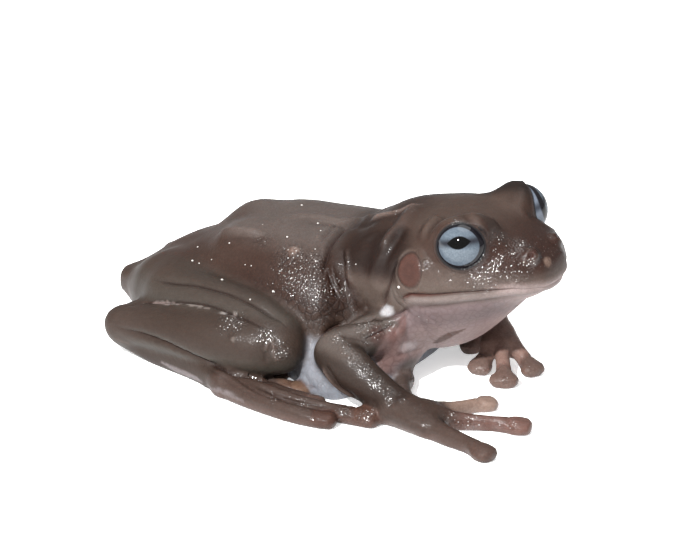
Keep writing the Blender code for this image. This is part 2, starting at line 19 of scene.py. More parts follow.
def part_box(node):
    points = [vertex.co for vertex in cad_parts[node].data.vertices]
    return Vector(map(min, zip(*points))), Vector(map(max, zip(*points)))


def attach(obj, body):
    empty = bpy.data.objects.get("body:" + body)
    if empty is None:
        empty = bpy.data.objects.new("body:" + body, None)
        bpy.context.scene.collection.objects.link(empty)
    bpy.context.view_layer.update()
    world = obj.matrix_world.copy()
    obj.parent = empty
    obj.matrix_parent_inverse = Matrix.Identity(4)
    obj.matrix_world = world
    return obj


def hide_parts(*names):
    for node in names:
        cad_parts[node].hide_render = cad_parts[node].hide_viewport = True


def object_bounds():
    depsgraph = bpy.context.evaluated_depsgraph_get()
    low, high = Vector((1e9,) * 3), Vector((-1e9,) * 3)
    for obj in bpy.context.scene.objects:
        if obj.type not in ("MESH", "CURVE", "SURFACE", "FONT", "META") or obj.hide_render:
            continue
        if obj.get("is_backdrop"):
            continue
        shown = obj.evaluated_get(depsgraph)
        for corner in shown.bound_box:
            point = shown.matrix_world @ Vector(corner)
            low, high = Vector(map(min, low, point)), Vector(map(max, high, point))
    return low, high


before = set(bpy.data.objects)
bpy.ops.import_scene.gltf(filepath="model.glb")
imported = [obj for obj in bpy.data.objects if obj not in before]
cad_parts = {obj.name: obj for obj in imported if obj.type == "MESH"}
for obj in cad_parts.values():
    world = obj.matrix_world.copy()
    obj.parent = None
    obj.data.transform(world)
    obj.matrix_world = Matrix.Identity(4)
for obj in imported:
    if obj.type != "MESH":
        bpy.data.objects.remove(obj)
SOLIDS_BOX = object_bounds()

bl_info = {
    "name": "Tree Frog Model",
    "version": (1, 0, 0),
    "blender": (4, 5, 0),
    "location": "View3D > Sidebar > Tree Frog",
    "description": "Builds the skin, eyes, spots and studio of a life-size tree frog",
    "category": "Object",
}

MM = 0.001

# the head's own frame: origin between the jaw joints, then turn, tilt and roll in degrees
HEAD_ORIGIN = (52.5, 2.3, 17.4)
HEAD_TURN = (-12.0, 6.0, 3.0)
LIP_LEVEL = 0.6

# trunk: x, y, level of the widest line, heading and pitch in degrees, half width, height, depth
TRUNK = (
    (0.8, 0.2, 7.3, 12, 0, 2.4, 1.7, 2.2),
    (4.0, 0.9, 6.8, 12, 0, 5.4, 3.4, 4.2),
    (9.0, 1.9, 6.3, 12, 2, 9.0, 6.6, 5.8),
    (15.0, 3.0, 5.8, 10, 4, 11.6, 10.0, 7.2),
    (21.0, 3.9, 5.4, 8, 6, 14.0, 13.8, 8.0),
    (29.0, 4.4, 5.0, 4, 9, 16.6, 16.05, 8.6),
    (37.0, 4.2, 4.6, 0, 13, 18.4, 16.55, 8.8),
    (44.0, 3.6, 4.8, -5, 18, 18.0, 16.8, 8.6),
    (48.6, 2.8, 6.0, -9, 24, 14.2, 15.4, 6.6),
)
TRUNK_SQUARENESS = (2.7, 2.7)
# where the trunk swells: place, reach and push
SWELLINGS = (
    ((22.0, -3.2, 19.5), 6.5, (0.0, 0.0, 1.0)),
    ((18.6, 9.6, 18.5), 6.5, (0.0, 0.0, 1.0)),
    ((43.0, -13.4, 1.2), 9.5, (0.8, -4.4, 0.0)),
    ((43.5, 19.6, 1.5), 9.0, (0.6, 1.6, 0.0)),
    ((50.5, -10.0, 1.5), 7.5, (1.6, -2.2, 0.0)),
)

# head: forward of the origin, half width, level of the crown, level of the throat
HEAD = (
    (-9.0, 10.6, 6.5, -9.0),
    (-5.0, 12.6, 8.2, -12.4),
    (0.0, 13.4, 9.0, -14.0),
    (5.0, 13.5, 9.5, -13.2),
    (9.0, 12.9, 9.4, -11.1),
    (13.0, 11.5, 8.4, -7.8),
    (17.0, 9.3, 6.7, -4.4),
    (20.0, 6.9, 4.9, -3.0),
    (21.6, 4.3, 3.3, -2.0),
)
HEAD_SQUARENESS = (2.35, 1.95)
# mouth seen from the side, in the head's frame: forward and up, from its corner
MOUTH_LINE = (
    (2.6, -1.8), (3.4, -1.0), (4.8, -0.3), (8.0, -0.2), (12.0, 0.15), (16.0, 0.2), (19.3, 0.0), (21.7, -0.95),
    (24.0, -1.6),
)

# eyes, eardrums and nostrils in the head's frame, for its left side
EYE_CENTRE = (11.5, 8.0, 6.5)
LEFT_EYE_SHIFT = (0.6, 0.1, -0.25)
EYE_RADIUS = 4.1
EYE_LOOK = (0.22, 0.94, 0.22)
# each ring of the lids: out from the eye's centre, half width, height, depth
LID_DOME = (
    (-5.6, 2.4, 1.4, 2.0),
    (-3.9, 4.3, 3.1, 3.6),
    (-1.6, 5.2, 4.4, 4.7),
    (0.6, 5.1, 4.7, 4.7),
    (1.7, 4.7, 4.4, 4.4),
    (2.3, 4.2, 4.0, 4.0),
)
# opening between the lids of the right and the left eye, in degrees round it: half width, half height,
# forward and up
LID_OPENINGS = {-1: (59.0, 54.0, 11.0, 2.4), 1: (74.0, 60.0, 26.0, 2.4)}
# lids: thickness, how much more of it above the eye, depth of the opening, and room over the eyeball
LID_THICKNESS, LID_THICKER_ABOVE, OPENING_DEPTH, BALL_ROOM = 0.34, 0.1, 0.9, 0.3
# brow ridge: how far its middle lies behind the eye's, its half length and height, and how far it is raised
BROW_BACK, BROW_RADII, BROW_RISE = 1.1, (4.9, 5.3), 0.7
# how far the iris of each eye is turned forward, in degrees
IRIS_TURNS = {-1: 3.5, 1: 14.0}
# middles of pupil and iris, forward and up, and the iris's reach, in degrees round the eye
PUPIL_MIDDLE, IRIS_MIDDLE, IRIS_REACH = (7.0, 12.5), (3.4, 3.9), (51.0, 46.0)
EARDRUM_CENTRE = (4.7, 13.2, 3.3)
EARDRUM_RADII = (2.1, 2.5)
# eardrum: depth of the groove round it, height of the rim behind it, and how far its middle sinks
DRUM_GROOVE, DRUM_RIM, DRUM_HOLLOW = 0.16, 0.2, 0.1
# depth of the mouth's line, and height of the lips above and below it
MOUTH_DEPTH, UPPER_LIP, LOWER_LIP = 0.42, 0.14, 0.2
# height of a nostril's rim and depth of its hole, and depth of the groove round a pad
NOSTRIL_RIM, NOSTRIL_DEPTH, PAD_GROOVE = 0.09, 0.45, 0.13
# soft unevenness of the skin: height, size and seed
UNEVENNESS = ((0.05, 4.1, 4.0), (0.012, 1.25, 9.0))
NOSTRIL_CENTRE = (20.7, 3.5, 4.2)
# radii of the right and the left nostril's mound, and how far the hole lies ahead of its middle and above it
NOSTRIL_MOUNDS, NOSTRIL_HOLE = {-1: 1.0, 1: 0.72}, (0.3, 0.3)

# limbs: point, half width, height and depth of each ring, on the frog's right
UPPER_ARM = (
    ((49.4, -4.6, 10.2), 3.1, 2.9, 3.2),
    ((48.2, -11.0, 9.4), 3.3, 3.0, 3.3),
    ((44.8, -15.9, 8.4), 2.9, 3.1, 3.1),
)
FOREARM = (
    ((43.6, -16.9, 7.7), 2.7, 3.1, 3.2),
    ((47.1, -18.6, 6.5), 3.2, 3.6, 3.8),
    ((51.6, -20.2, 4.9), 2.7, 2.9, 3.1),
    ((56.0, -21.4, 3.3), 2.4, 2.2, 2.7),
)
PALM = (
    ((55.6, -21.5, 3.0), 2.6, 2.0, 3.4),
    ((59.6, -21.9, 2.4), 3.8, 1.9, 2.8),
    ((62.6, -22.5, 2.1), 3.9, 1.5, 2.5),
)
FINGERS = (
    (((57.4, -20.2, 2.6), 1.5, 1.4, 2.8), ((55.4, -16.2, 2.2), 1.15, 1.2, 2.5),
     ((53.6, -12.4, 2.0), 1.1, 1.1, 2.3), ((52.6, -9.8, 1.7), 1.7, 1.1, 2.0),
     ((52.3, -8.6, 1.6), 1.6, 1.0, 1.9)),
    (((60.0, -19.4, 2.2), 1.5, 1.2, 2.6), ((63.3, -15.9, 1.6), 1.05, 0.95, 1.9),
     ((65.2, -13.5, 1.4), 0.9, 0.9, 1.7), ((66.4, -12.0, 1.2), 1.8, 0.9, 1.6),
     ((67.3, -11.1, 1.1), 1.8, 0.8, 1.4)),
    (((61.4, -21.4, 2.2), 1.5, 1.3, 2.6), ((66.2, -19.7, 1.7), 1.1, 1.0, 2.0),
     ((70.8, -18.4, 1.45), 0.95, 0.95, 1.75), ((73.4, -17.7, 1.3), 2.1, 1.0, 1.7),
     ((74.9, -17.3, 1.2), 2.1, 0.9, 1.5)),
    (((61.4, -23.6, 2.2), 1.7, 1.3, 2.6), ((65.6, -25.7, 1.8), 1.3, 1.2, 2.1),
     ((69.4, -27.1, 1.6), 1.05, 1.1, 1.9), ((71.7, -28.1, 1.3), 1.9, 1.0, 1.7),
     ((73.0, -28.7, 1.2), 1.9, 0.9, 1.5)),
)
# the left arm is drawn in under the throat
UPPER_ARM_LEFT = (
    ((51.0, 8.0, 11.0), 3.6, 3.4, 3.4),
    ((50.0, 14.0, 9.8), 3.4, 3.2, 3.2),
    ((49.3, 19.2, 8.2), 3.1, 3.2, 3.2),
)
FOREARM_LEFT = (
    ((49.2, 19.8, 7.6), 2.8, 3.2, 3.2),
    ((52.0, 17.8, 7.4), 3.5, 3.7, 3.9),
    ((56.4, 14.4, 6.6), 3.0, 3.1, 3.2),
    ((59.4, 10.9, 5.2), 2.3, 2.2, 2.6),
)
PALM_LEFT = (
    ((59.4, 10.9, 5.0), 2.3, 2.0, 2.5),
    ((61.8, 7.6, 4.2), 2.8, 1.7, 2.1),
    ((63.0, 4.6, 3.2), 3.2, 1.5, 2.0),
)
FINGERS_LEFT = (
    (((60.8, 9.0, 4.2), 1.3, 1.3, 1.7), ((59.0, 8.2, 2.9), 1.1, 1.1, 1.6),
     ((57.4, 7.6, 1.8), 1.5, 1.0, 2.0), ((56.7, 7.3, 1.5), 1.4, 0.9, 1.8)),
    (((62.0, 5.8, 3.6), 1.3, 1.3, 1.7), ((61.6, 3.2, 2.5), 1.05, 1.1, 1.5),
     ((61.3, 1.2, 1.5), 1.9, 1.0, 1.9), ((61.2, 0.2, 1.2), 2.0, 0.9, 1.6)),
    (((63.4, 5.0, 3.4), 1.4, 1.4, 1.8), ((64.7, 1.6, 2.6), 1.1, 1.2, 1.6),
     ((65.9, -1.2, 1.6), 1.4, 1.1, 2.0), ((66.3, -2.4, 1.3), 2.4, 1.0, 1.7),
     ((66.5, -3.1, 1.2), 2.3, 0.9, 1.6)),
    (((64.4, 6.1, 3.4), 1.4, 1.4, 1.8), ((66.5, 4.9, 2.5), 1.1, 1.2, 1.6),
     ((68.0, 3.9, 1.7), 1.3, 1.1, 2.0), ((68.8, 3.2, 1.4), 2.0, 1.0, 1.7),
     ((69.4, 2.7, 1.3), 2.0, 0.9, 1.6)),
)
THIGH = (
    ((10.0, -4.7, 8.5), 4.0, 4.3, 4.3),
    ((15.0, -8.4, 9.0), 5.0, 5.2, 5.2),
    ((24.2, -12.2, 9.0), 5.2, 5.4, 5.2),
    ((30.8, -14.2, 8.7), 4.7, 5.0, 4.8),
    ((34.2, -15.2, 8.2), 3.8, 4.1, 4.0),
)
SHANK = (
    ((35.2, -16.8, 7.2), 3.8, 4.0, 4.2),
    ((31.5, -17.4, 7.0), 4.6, 4.8, 4.8),
    ((24.5, -16.9, 6.8), 4.6, 4.7, 4.6),
    ((15.5, -15.2, 6.2), 3.5, 3.7, 3.6),
    ((6.8, -13.8, 5.6), 2.7, 2.7, 2.8),
)
TARSUS = (
    ((6.9, -12.9, 4.1), 2.1, 2.2, 2.9),
    ((13.4, -14.6, 2.8), 1.9, 2.4, 3.0),
    ((21.5, -17.6, 2.6), 2.2, 2.4, 2.85),
    ((28.6, -20.8, 2.4), 2.8, 2.3, 2.75),
)
TOES = (
    (((25.0, -18.8, 2.2), 1.3, 1.5, 2.8), ((28.0, -16.8, 1.6), 1.0, 1.1, 2.1),
     ((31.4, -15.4, 1.4), 0.9, 1.0, 1.8), ((33.4, -14.8, 1.1), 1.5, 0.9, 1.6),
     ((34.2, -14.6, 1.0), 1.4, 0.8, 1.4)),
    (((27.0, -19.4, 2.2), 1.4, 1.6, 2.8), ((31.4, -18.3, 1.7), 1.1, 1.2, 2.1),
     ((35.4, -17.6, 1.4), 0.95, 1.0, 1.8), ((38.2, -17.3, 1.1), 1.7, 0.9, 1.6),
     ((39.2, -17.2, 1.0), 1.6, 0.8, 1.4)),
    (((28.0, -20.0, 2.3), 1.5, 1.7, 2.8), ((33.0, -20.4, 1.9), 1.3, 1.4, 2.2),
     ((38.0, -20.9, 1.5), 1.1, 1.1, 1.9), ((42.0, -21.2, 1.2), 1.6, 1.0, 1.6),
     ((43.4, -21.2, 1.1), 1.6, 0.9, 1.5)),
    (((28.0, -21.0, 2.4), 1.8, 1.8, 2.8), ((34.0, -22.6, 2.1), 1.4, 1.6, 2.4),
     ((42.0, -23.7, 1.7), 1.2, 1.3, 2.1), ((48.8, -23.8, 1.4), 1.5, 1.2, 1.8),
     ((52.9, -23.5, 1.3), 2.1, 1.3, 1.7)),
    (((27.4, -21.8, 2.3), 1.6, 1.8, 2.6), ((33.0, -24.3, 2.0), 1.4, 1.6, 2.2),
     ((40.5, -26.6, 1.7), 1.2, 1.3, 1.95), ((45.2, -26.8, 1.4), 1.6, 1.1, 1.65),
     ((47.3, -26.5, 1.3), 1.8, 1.1, 1.5)),
)
LEG_MIRROR_HEADING = 8.0
LEFT_HIP_SHIFT = (2.6, -0.6, -2.4)
# a fold's twin on the left: where the head begins, and how far a twin on the trunk is moved to the left
HEAD_BEGINS, TRUNK_MIRROR_SHIFT = 47.0, 8.4
TOE_WEB_REACH = 0.62
FINGER_WEB_REACH = 0.28
WEB_THICKNESS = 0.7

# folds of the skin: height, half width, painted shade (painted sheen where below zero), whether the left side
# has its twin, and path
FOLDS = (
    (-0.8, 0.45, 0.5, True, ((52.4, -10.3, 22.4), (51.4, -10.7, 21), (50.8, -11.1, 18.8),
        (50.1, -10.8, 16.3), (49.2, -10.1, 13.6), (49.1, -10.7, 12.7))),
    (-0.6, 0.45, 0.35, True, ((54, -11.2, 14.4), (52.2, -11, 13), (50, -11.3, 12.4),
        (48.7, -12.3, 12.1))),
    (0.45, 0.5, -0.9, False, ((51.3, 2.1, 26.3), (50, 0.5, 26), (48.1, -0.6, 25.4), (45.8, -0.9, 24.5),
        (43.2, -0.1, 23.1))),
    (0.7, 1, -0.2, False, ((50.4, 1.6, 26.1), (50.2, -2.4, 25.7), (50.1, -5.1, 25), (49.5, -7.2, 23.9),
        (48.9, -8.6, 22.6), (48.5, -9.3, 21.5))),
    (-0.6, 1.2, 0.3, True, ((50.8, -5.4, 25.2), (50.4, -7.6, 24), (49.9, -9.2, 22.5), (49.5, -10.1, 20.8),
        (49.2, -10.6, 18.7), (48.8, -10.4, 16.3))),
    (0.35, 0.8, 0, False, ((49.6, -5.1, 24.9), (49, -7.4, 23.6), (48.7, -8.9, 22.2), (48, -9.7, 20.6),
        (47.3, -10, 18.5), (46.9, -9.7, 16.1))),
    (-0.7, 2, 0.3, True, ((45.5, -5.1, 23.3), (46.2, -7.7, 22.1), (45.8, -9, 19.9), (45.2, -9.2, 17.3))),
    (0.4, 0.8, -0.15, False, ((27.9, 0.4, 20.8), (30.1, 3.2, 20.9), (33, 4.3, 20.8), (36.6, 3.8, 20.8),
        (39.7, 4.5, 21.1), (44.3, 0.5, 23.8), (47.7, -0.3, 25.3))),
    (-0.3, 0.9, 0.12, False, ((31.1, 0.9, 20.8), (34.3, 2.1, 20.7), (38.2, 1.6, 20.9), (42.8, -1.6, 22.7),
        (46.6, -2.9, 24.5))),
    (-0.8, 0.5, 0.5, False, ((38.6, 2.3, 20.9), (38.5, -1.6, 20.7), (38.5, -4.5, 20.1), (38.9, -7, 19.1),
        (39.1, -8.7, 17.9), (39.5, -10, 16.7))),
    (0.3, 0.6, 0, False, ((37.5, 2.8, 20.8), (37.4, -1.4, 20.6), (37.5, -4.4, 20.1), (37.8, -7.1, 19.1))),
    (0.3, 0.5, 0, False, ((36.4, 2.7, 20.8), (35.9, -1, 20.6), (35.7, -4.2, 20.1))),
    (-0.35, 0.4, 0.25, False, ((37, 2.9, 20.8), (36.7, -0.9, 20.7), (36.6, -4.3, 20.1))),
    (-0.35, 0.35, 0.3, True, ((39.3, -8.1, 18.3), (40.3, -9.3, 16.7), (41.5, -10.1, 14.9),
        (42.6, -10.4, 13.4))),
    (0.25, 0.4, 0, True, ((39.8, -7.7, 18.5), (40.8, -8.9, 16.8), (41.9, -9.6, 14.9))),
    (0.3, 0.4, -0.1, True, ((41.6, -5.5, 20.4), (42.4, -7.3, 19.1), (43, -8.4, 17.3),
        (43.7, -8.9, 15.3))),
    (-0.3, 0.35, 0.2, False, ((40.8, -5.5, 20.2), (41.7, -7.4, 18.7), (42.3, -8.4, 16.8),
        (43.1, -9, 14.9))),
    (-0.8, 0.42, 0.55, True, ((49.1, -10.8, 12.6), (47.9, -12.3, 12.2), (45.7, -13.3, 11.8),
        (42.8, -12.3, 10.3), (41.6, -13.7, 9.7), (40.6, -14.7, 8.6))),
    (0.35, 0.7, -0.08, False, ((18.2, -2.6, 17.4), (18.9, -1.9, 18.3), (21.5, -3.1, 19.7),
        (24.5, -3.7, 20.1), (27.3, -3.7, 20.1))),
    (-0.4, 0.9, 0.15, False, ((19.5, -4.7, 17.2), (20.7, -4.4, 18.5), (22.9, -4.7, 19.3),
        (25.4, -4.9, 19.6), (28.1, -4.9, 19.7))),
    (-0.7, 0.4, 0.55, False, ((10, -9.9, 12), (12.8, -11.4, 12.6), (16.1, -12.4, 13.2), (19.3, -13, 13.7),
        (22.5, -13.9, 13.9), (25.6, -14.6, 13.9), (28, -15.3, 13.7), (31, -16.2, 13.1),
        (33.4, -16.6, 12.3), (35.5, -17.1, 11.7), (37.1, -17.9, 10.6))),
    (-0.12, 0.25, 0.25, False, ((38.3, -14.1, 10.3), (40.1, -13.5, 11.5), (42.3, -11.8, 11.9),
        (44.2, -10, 12.4))),
    (-0.1, 0.25, 0.2, False, ((40.1, -13.5, 11.5), (41.4, -12, 12.8), (42.1, -10.6, 13.7))),
    (-0.25, 0.3, 0.2, True, ((51.6, -11.3, 18), (51.9, -11.3, 16.6), (52.9, -11.4, 15.6),
        (54, -11.4, 14.8))),
    (-0.2, 0.3, 0.15, True, ((51, -11.2, 17.2), (51.3, -11, 15.8), (52.1, -11, 14.7),
        (53.3, -11.1, 14.1))),
    (-0.25, 0.5, 0.2, True, ((54, -11.3, 14.5), (55.8, -11.5, 14.6), (57.9, -11.8, 15.4),
        (60.2, -11.6, 15.8), (62.5, -11.3, 16.4), (65.3, -10.4, 17), (68.4, -9, 17.5),
        (71.4, -6.9, 17.8))),
    (-0.3, 0.35, 0.15, True, ((54.1, -11.2, 14.1), (52.8, -11.2, 12), (51.6, -11.8, 9.8))),
    (-0.2, 0.3, 0.12, False, ((54.3, -11.2, 14.2), (53.8, -10.8, 11.7), (53, -10.6, 8.4),
        (52.3, -10.5, 5))),
    (-0.15, 0.3, 0.1, False, ((54.6, -11.3, 14.2), (55.5, -10.5, 12.1), (56.2, -8, 8.6),
        (56, -3.8, 5.4))),
    (-0.12, 0.3, 0.08, False, ((55.2, -11.4, 14.4), (57.3, -11, 13.2), (58.9, -9.2, 10.8),
        (60.1, -6.2, 8.5))),
    (-0.3, 0.4, 0.3, False, ((51.3, -11.3, 6), (53.5, -9.5, 6.3), (54.7, -6.6, 6.2))),
    (-0.3, 0.45, 0.35, False, ((35.7, -13.6, 1), (39.7, -17.5, 1.8), (42.7, -18.4, 1.8))),
    (-0.3, 0.35, 0.2, False, ((35.7, -19.6, 9.9), (34.9, -20.5, 8.8), (34.6, -21, 7.5),
        (34.7, -20.9, 6))),
    (-0.3, 0.35, 0.3, False, ((55.4, -24.2, 3.4), (56.9, -23.1, 4.9), (58.3, -20.7, 4.6))),
    (0.3, 0.35, -0.55, False, ((43.1, -19.8, 6.9), (44.8, -20.7, 5.3), (46.6, -21.2, 3.8),
        (49.4, -21.9, 2.6))),
    (-0.3, 0.3, 0.3, False, ((43.8, -20.3, 7.5), (45.6, -21.4, 6), (47.3, -21.6, 4.3), (50, -22.4, 3.2))),
    (-0.8, 0.32, 0.6, False, ((6.6, -16.3, 6.5), (8.4, -16.9, 6.1), (12, -17.8, 6.1), (16.7, -19.1, 5.9),
        (21.4, -20.5, 5.3), (25.4, -21.2, 4.6), (29.1, -22, 4.4), (31.8, -21.4, 3.7), (34.3, -20.4, 3.1),
        (36, -18.1, 2.1))),
    (-0.6, 0.32, 0.6, False, ((6.9, -14.8, 8.2), (8.6, -13.4, 8.6), (10.9, -12.4, 9), (15.4, -14, 10.4),
        (19.4, -15.3, 11.6), (23.7, -16.5, 12.1), (27.7, -17.6, 11.8), (31, -18.6, 11.6),
        (33.2, -19.1, 11.1), (35, -19.6, 10.1))),
    (-0.5, 0.35, 0.4, False, ((48.3, -15.8, 10), (49.4, -14.4, 10.5), (50.6, -12.6, 11),
        (51.9, -11.4, 12.1))),
    (-0.3, 0.35, 0.3, False, ((45.1, -17.8, 10.9), (46.7, -16.7, 10.8), (48.3, -15.8, 10),
        (49.5, -14.8, 8.6))),
    (-0.35, 0.3, 0.4, False, ((29.5, -22.3, 4.1), (33.1, -24.4, 3.5), (36, -25.7, 3.2), (39.9, -26, 2.9),
        (43.4, -25.4, 2.2))),
    (-0.35, 0.3, 0.4, False, ((35, -23.4, 3.4), (37.7, -24.4, 2.7), (41.1, -24.7, 2.4), (45, -24.7, 2.4),
        (48.3, -24.9, 2.2))),
    (-0.25, 0.3, 0.25, False, ((24.4, -21, 4), (27.5, -23.1, 4), (29.6, -23.9, 3.4), (32.9, -25.4, 2.9),
        (36.4, -26.7, 2.4))),
    (0.3, 0.28, -0.35, False, ((34.6, -21, 7.8), (34.8, -20.6, 8.8), (35.2, -20.1, 9.4),
        (35.8, -19.8, 9.5))),
    (0.28, 0.28, -0.35, False, ((35.4, -20, 9.4), (35.7, -20.4, 8.3), (36, -20.5, 7),
        (36.6, -20.2, 6.3))),
)
# wet glistening spots: place, radius and amount
WET_SPOTS = (
    (67.1, -6.6, 25.4, 2.1, 1), (69.4, -5.2, 24.6, 1.8, 1), (66.8, -9.9, 22.4, 2.1, 1),
    (69.7, -8.6, 21.7, 1.9, 1), (71.4, -6.8, 22.6, 1.3, 1), (65.7, -10.4, 24.3, 1.1, 1),
    (61.1, -12, 20.7, 1.5, 0.5), (63.7, -11.5, 20.7, 1.5, 0.6), (27.3, -5.4, 19.5, 1.9, 0.5),
    (50.1, -1.5, 25.9, 1.3, 0.6), (47.4, -0.8, 25.2, 1.3, 0.6), (33, -8.5, 18.1, 2.6, 0.9),
    (36.1, -11.2, 16.1, 2.7, 1), (39.3, -11.6, 15.3, 2.3, 0.9), (37.2, -8.5, 18.4, 2.1, 0.9),
    (41.3, -9.8, 15.4, 1.6, 0.8), (42.2, -7.5, 18.8, 1.5, 0.4), (40.7, -12.2, 13.4, 1.3, 0.5),
    (28.3, -19.3, 11.3, 2.1, 1), (34.1, -19.8, 10.4, 1.5, 0.9), (36.6, -20.1, 8.3, 1.5, 0.8),
    (48.8, -14.2, 11.2, 2, 1), (50.6, -12.4, 11.4, 1.2, 1), (49.9, -12.8, 11.5, 1.1, 1),
    (45.2, -18, 10.8, 1.1, 0.8), (47.2, -19.4, 10, 1.1, 0.9), (49, -20.4, 9.1, 1.1, 1),
    (51, -21.3, 7.9, 1.2, 0.9), (53, -22.2, 6.6, 1.2, 0.9), (55.3, -22.8, 5.5, 1.1, 0.75),
    (55.8, -11, 13.2, 0.5, 1), (57, -10.6, 12.4, 0.5, 1), (56.2, -11.4, 22.1, 0.5, 1),
    (56.2, -11.8, 21.2, 0.5, 1), (52.4, -24.7, 2.3, 1.3, 1), (48.8, -24.3, 2.5, 1.3, 0.9),
    (32.7, -20.9, 3.4, 1.6, 0.5), (38.3, -26.1, 3.1, 1.6, 0.5), (41.8, -24.8, 2, 1.6, 0.6),
    (64.5, -21.6, 1.8, 1.6, 1), (67.7, -20.3, 1.4, 1.6, 1), (61.6, -18.1, 3.1, 1, 0.5),
    (71.3, -19.3, 1.5, 1, 0.9), (73.5, -19.3, 1.9, 1.3, 0.6), (57.5, -22.4, 4.9, 1, 0.8),
    (60.4, -23.2, 4, 1.1, 0.5), (61.8, -0.8, 1.3, 0.8, 0.8), (67, -3.9, 1.6, 0.8, 0.8),
    (69.2, 1.4, 1.6, 0.8, 0.6), (61.1, -9.7, 28.5, 1, 1), (40.4, -17.6, 2.1, 0.8, 0.5),
    (42.5, -18.4, 2.6, 0.8, 0.6), (73.4, -4, 22.3, 0.6, 0.6), (65.4, -10.6, 21.2, 2.4, 1),
    (68.2, -7.8, 23.6, 2.4, 0.9), (63.4, -11.4, 22.9, 0.9, 1),
)
# white grains on the skin: place and relative size
WHITE_GRAINS = (
    (14.8, -2.1, 15.1, 0.8), (16, -6.7, 13.9, 1.2), (17.3, -7, 13.9, 1), (19.1, -6.3, 15.3, 0.8),
    (23.1, -11.3, 14.4, 1.1), (21.7, -5.4, 18.2, 1.1), (25.8, -8.6, 16.3, 0.6), (27, -8.9, 16.4, 0.6),
    (25.9, -1.9, 20.6, 0.5), (31.9, -11.8, 14, 0.9), (28.5, 7.7, 20.9, 1.2), (33.6, 2.1, 20.7, 1),
    (35.4, -1.1, 20.6, 0.7), (36.5, -6, 19.5, 0.8), (37.5, -8.2, 18.5, 0.8), (31, -4.1, 20.1, 0.9),
    (29.5, -15.2, 13.7, 0.7), (44, -8.4, 19.1, 0.7), (52.4, -11.5, 17.7, 1.3),
)
# toe and finger pads: part of the body, middle, radius and colour
PADS = (
    ("hand_right", (67, -11.5, 1.2), 2, (206, 176, 161)),
    ("hand_right", (74.3, -17.6, 1.2), 2.3, (168, 134, 122)),
    ("hand_right", (72.6, -28.4, 1.2), 2.1, (120, 96, 88)),
    ("hand_right", (52.4, -9, 1.6), 1.7, (140, 124, 120)),
    ("hand_left", (61.2, 0.4, 1.2), 2, (146, 122, 113)),
    ("hand_left", (66.4, -2.8, 1.2), 2.5, (144, 119, 110)),
    ("hand_left", (69.2, 3, 1.3), 2.1, (128, 105, 96)),
    ("hand_left", (56.9, 7.4, 1.5), 1.5, (128, 106, 98)),
    ("foot_right", (52, -23.5, 1.3), 2.3, (108, 76, 64)),
    ("foot_right", (46.6, -26.8, 1.3), 2, (98, 68, 58)),
    ("foot_right", (42.9, -21.2, 1.1), 1.8, (124, 100, 90)),
    ("foot_right", (38.8, -17.2, 1), 1.8, (150, 118, 98)),
    ("foot_right", (34, -14.7, 1), 1.6, (140, 112, 98)),
)
# patches of another colour, some of them painted shade: middle, reach each way, colour and amount
PATCHES = (
    ((73.4, -4.1, 22.3), (0.7, 0.9, 1.1), (176, 150, 136), 0.75),
    ((50.1, -10.8, 13.2), (1.5, 1.3, 1.05), (236, 236, 240), 1),
    # painted shadow in the right armpit
    ((50, -13.8, 10.4), (1.6, 1.6, 2), (104, 70, 64), 0.7),
    ((67.9, -2.1, 13.4), (0.35, 0.35, 0.35), (16, 14, 14), 1),
    ((29.4, -21.4, 9.4), (0.5, 0.5, 0.5), (150, 138, 130), 0.7),
    ((36.1, -22, 3.5), (1.4, 1.2, 0.9), (96, 70, 60), 0.5),
    ((50, -7, 6.6), (2.2, 3, 2), (184, 180, 182), 0.7),
    ((6.8, -9.1, 8.3), (0.5, 0.7, 0.8), (150, 146, 144), 0.6),
    ((37.2, -17.8, 2), (2.4, 1.6, 1.4), (148, 116, 98), 0.6),
    ((26.1, -17.4, 11.8), (0.8, 0.5, 0.4), (216, 208, 204), 0.8),
    ((27.9, -17.7, 11.8), (0.6, 0.5, 0.4), (216, 208, 204), 0.7),
    ((4.1, -4.8, 6.2), (1.6, 1.6, 1.4), (130, 122, 120), 0.5),
    # painted shade: reddish shading along the fold between the throat and the chest
    ((52.9, -11.2, 11.6), (0.7, 1.2, 2.2), (136, 90, 82), 0.55),
    ((51.7, -12, 9.4), (0.7, 1.2, 1.6), (136, 90, 82), 0.5),
    ((51.6, -11.2, 16.2), (1.6, 1.6, 2), (128, 116, 109), 0.7),
    ((52.3, -8.6, 7.6), (2.3, 2.4, 1.9), (224, 212, 214), 0.85),
    ((33.2, -6.8, 19.1), (1, 1, 1), (176, 150, 138), 0.85),
    ((67.4, -8.3, 23.6), (4, 2.6, 2.5), (76, 50, 42), 0.8),
)
# warts on the skin: place and height
WARTS = ((33.2, -6.8, 19.1, 0.4), (29.4, -21.4, 9.4, 0.25))
# marks along a line: half width, colour, amount, unevenness and path
MARKS = (
    (0.9, (112, 70, 56), 0.95, 0.1, ((56.2, -6.1, 6.9), (57.5, -7, 8), (59.4, -7.8, 9.6),
        (61.6, -7.9, 10.8))),
    (0.75, (166, 156, 158), 0.9, 0.5, ((15, -17, 1.4), (19.4, -18.7, 1.2), (24, -21, 1.3))),
    (0.55, (166, 156, 158), 0.7, 0.6, ((25.6, -22.9, 1.6), (29, -24.2, 1.6), (33, -25.6, 1.4))),
    (0.32, (200, 190, 186), 0.9, 0.35, ((9.6, -11.4, 8.5), (11.4, -12.2, 9), (14.3, -13.6, 10),
        (18.2, -15, 11.1))),
    (0.3, (186, 174, 168), 0.7, 0.5, ((18.6, -15.2, 11.2), (20.9, -15.9, 11.5), (23.6, -16.8, 11.8))),
    (0.3, (132, 108, 98), 0.6, 0.4, ((3.2, -13.2, 5.4), (4.6, -14.9, 4.6), (8.4, -16.2, 3.4),
        (14, -17.6, 2.4))),
)

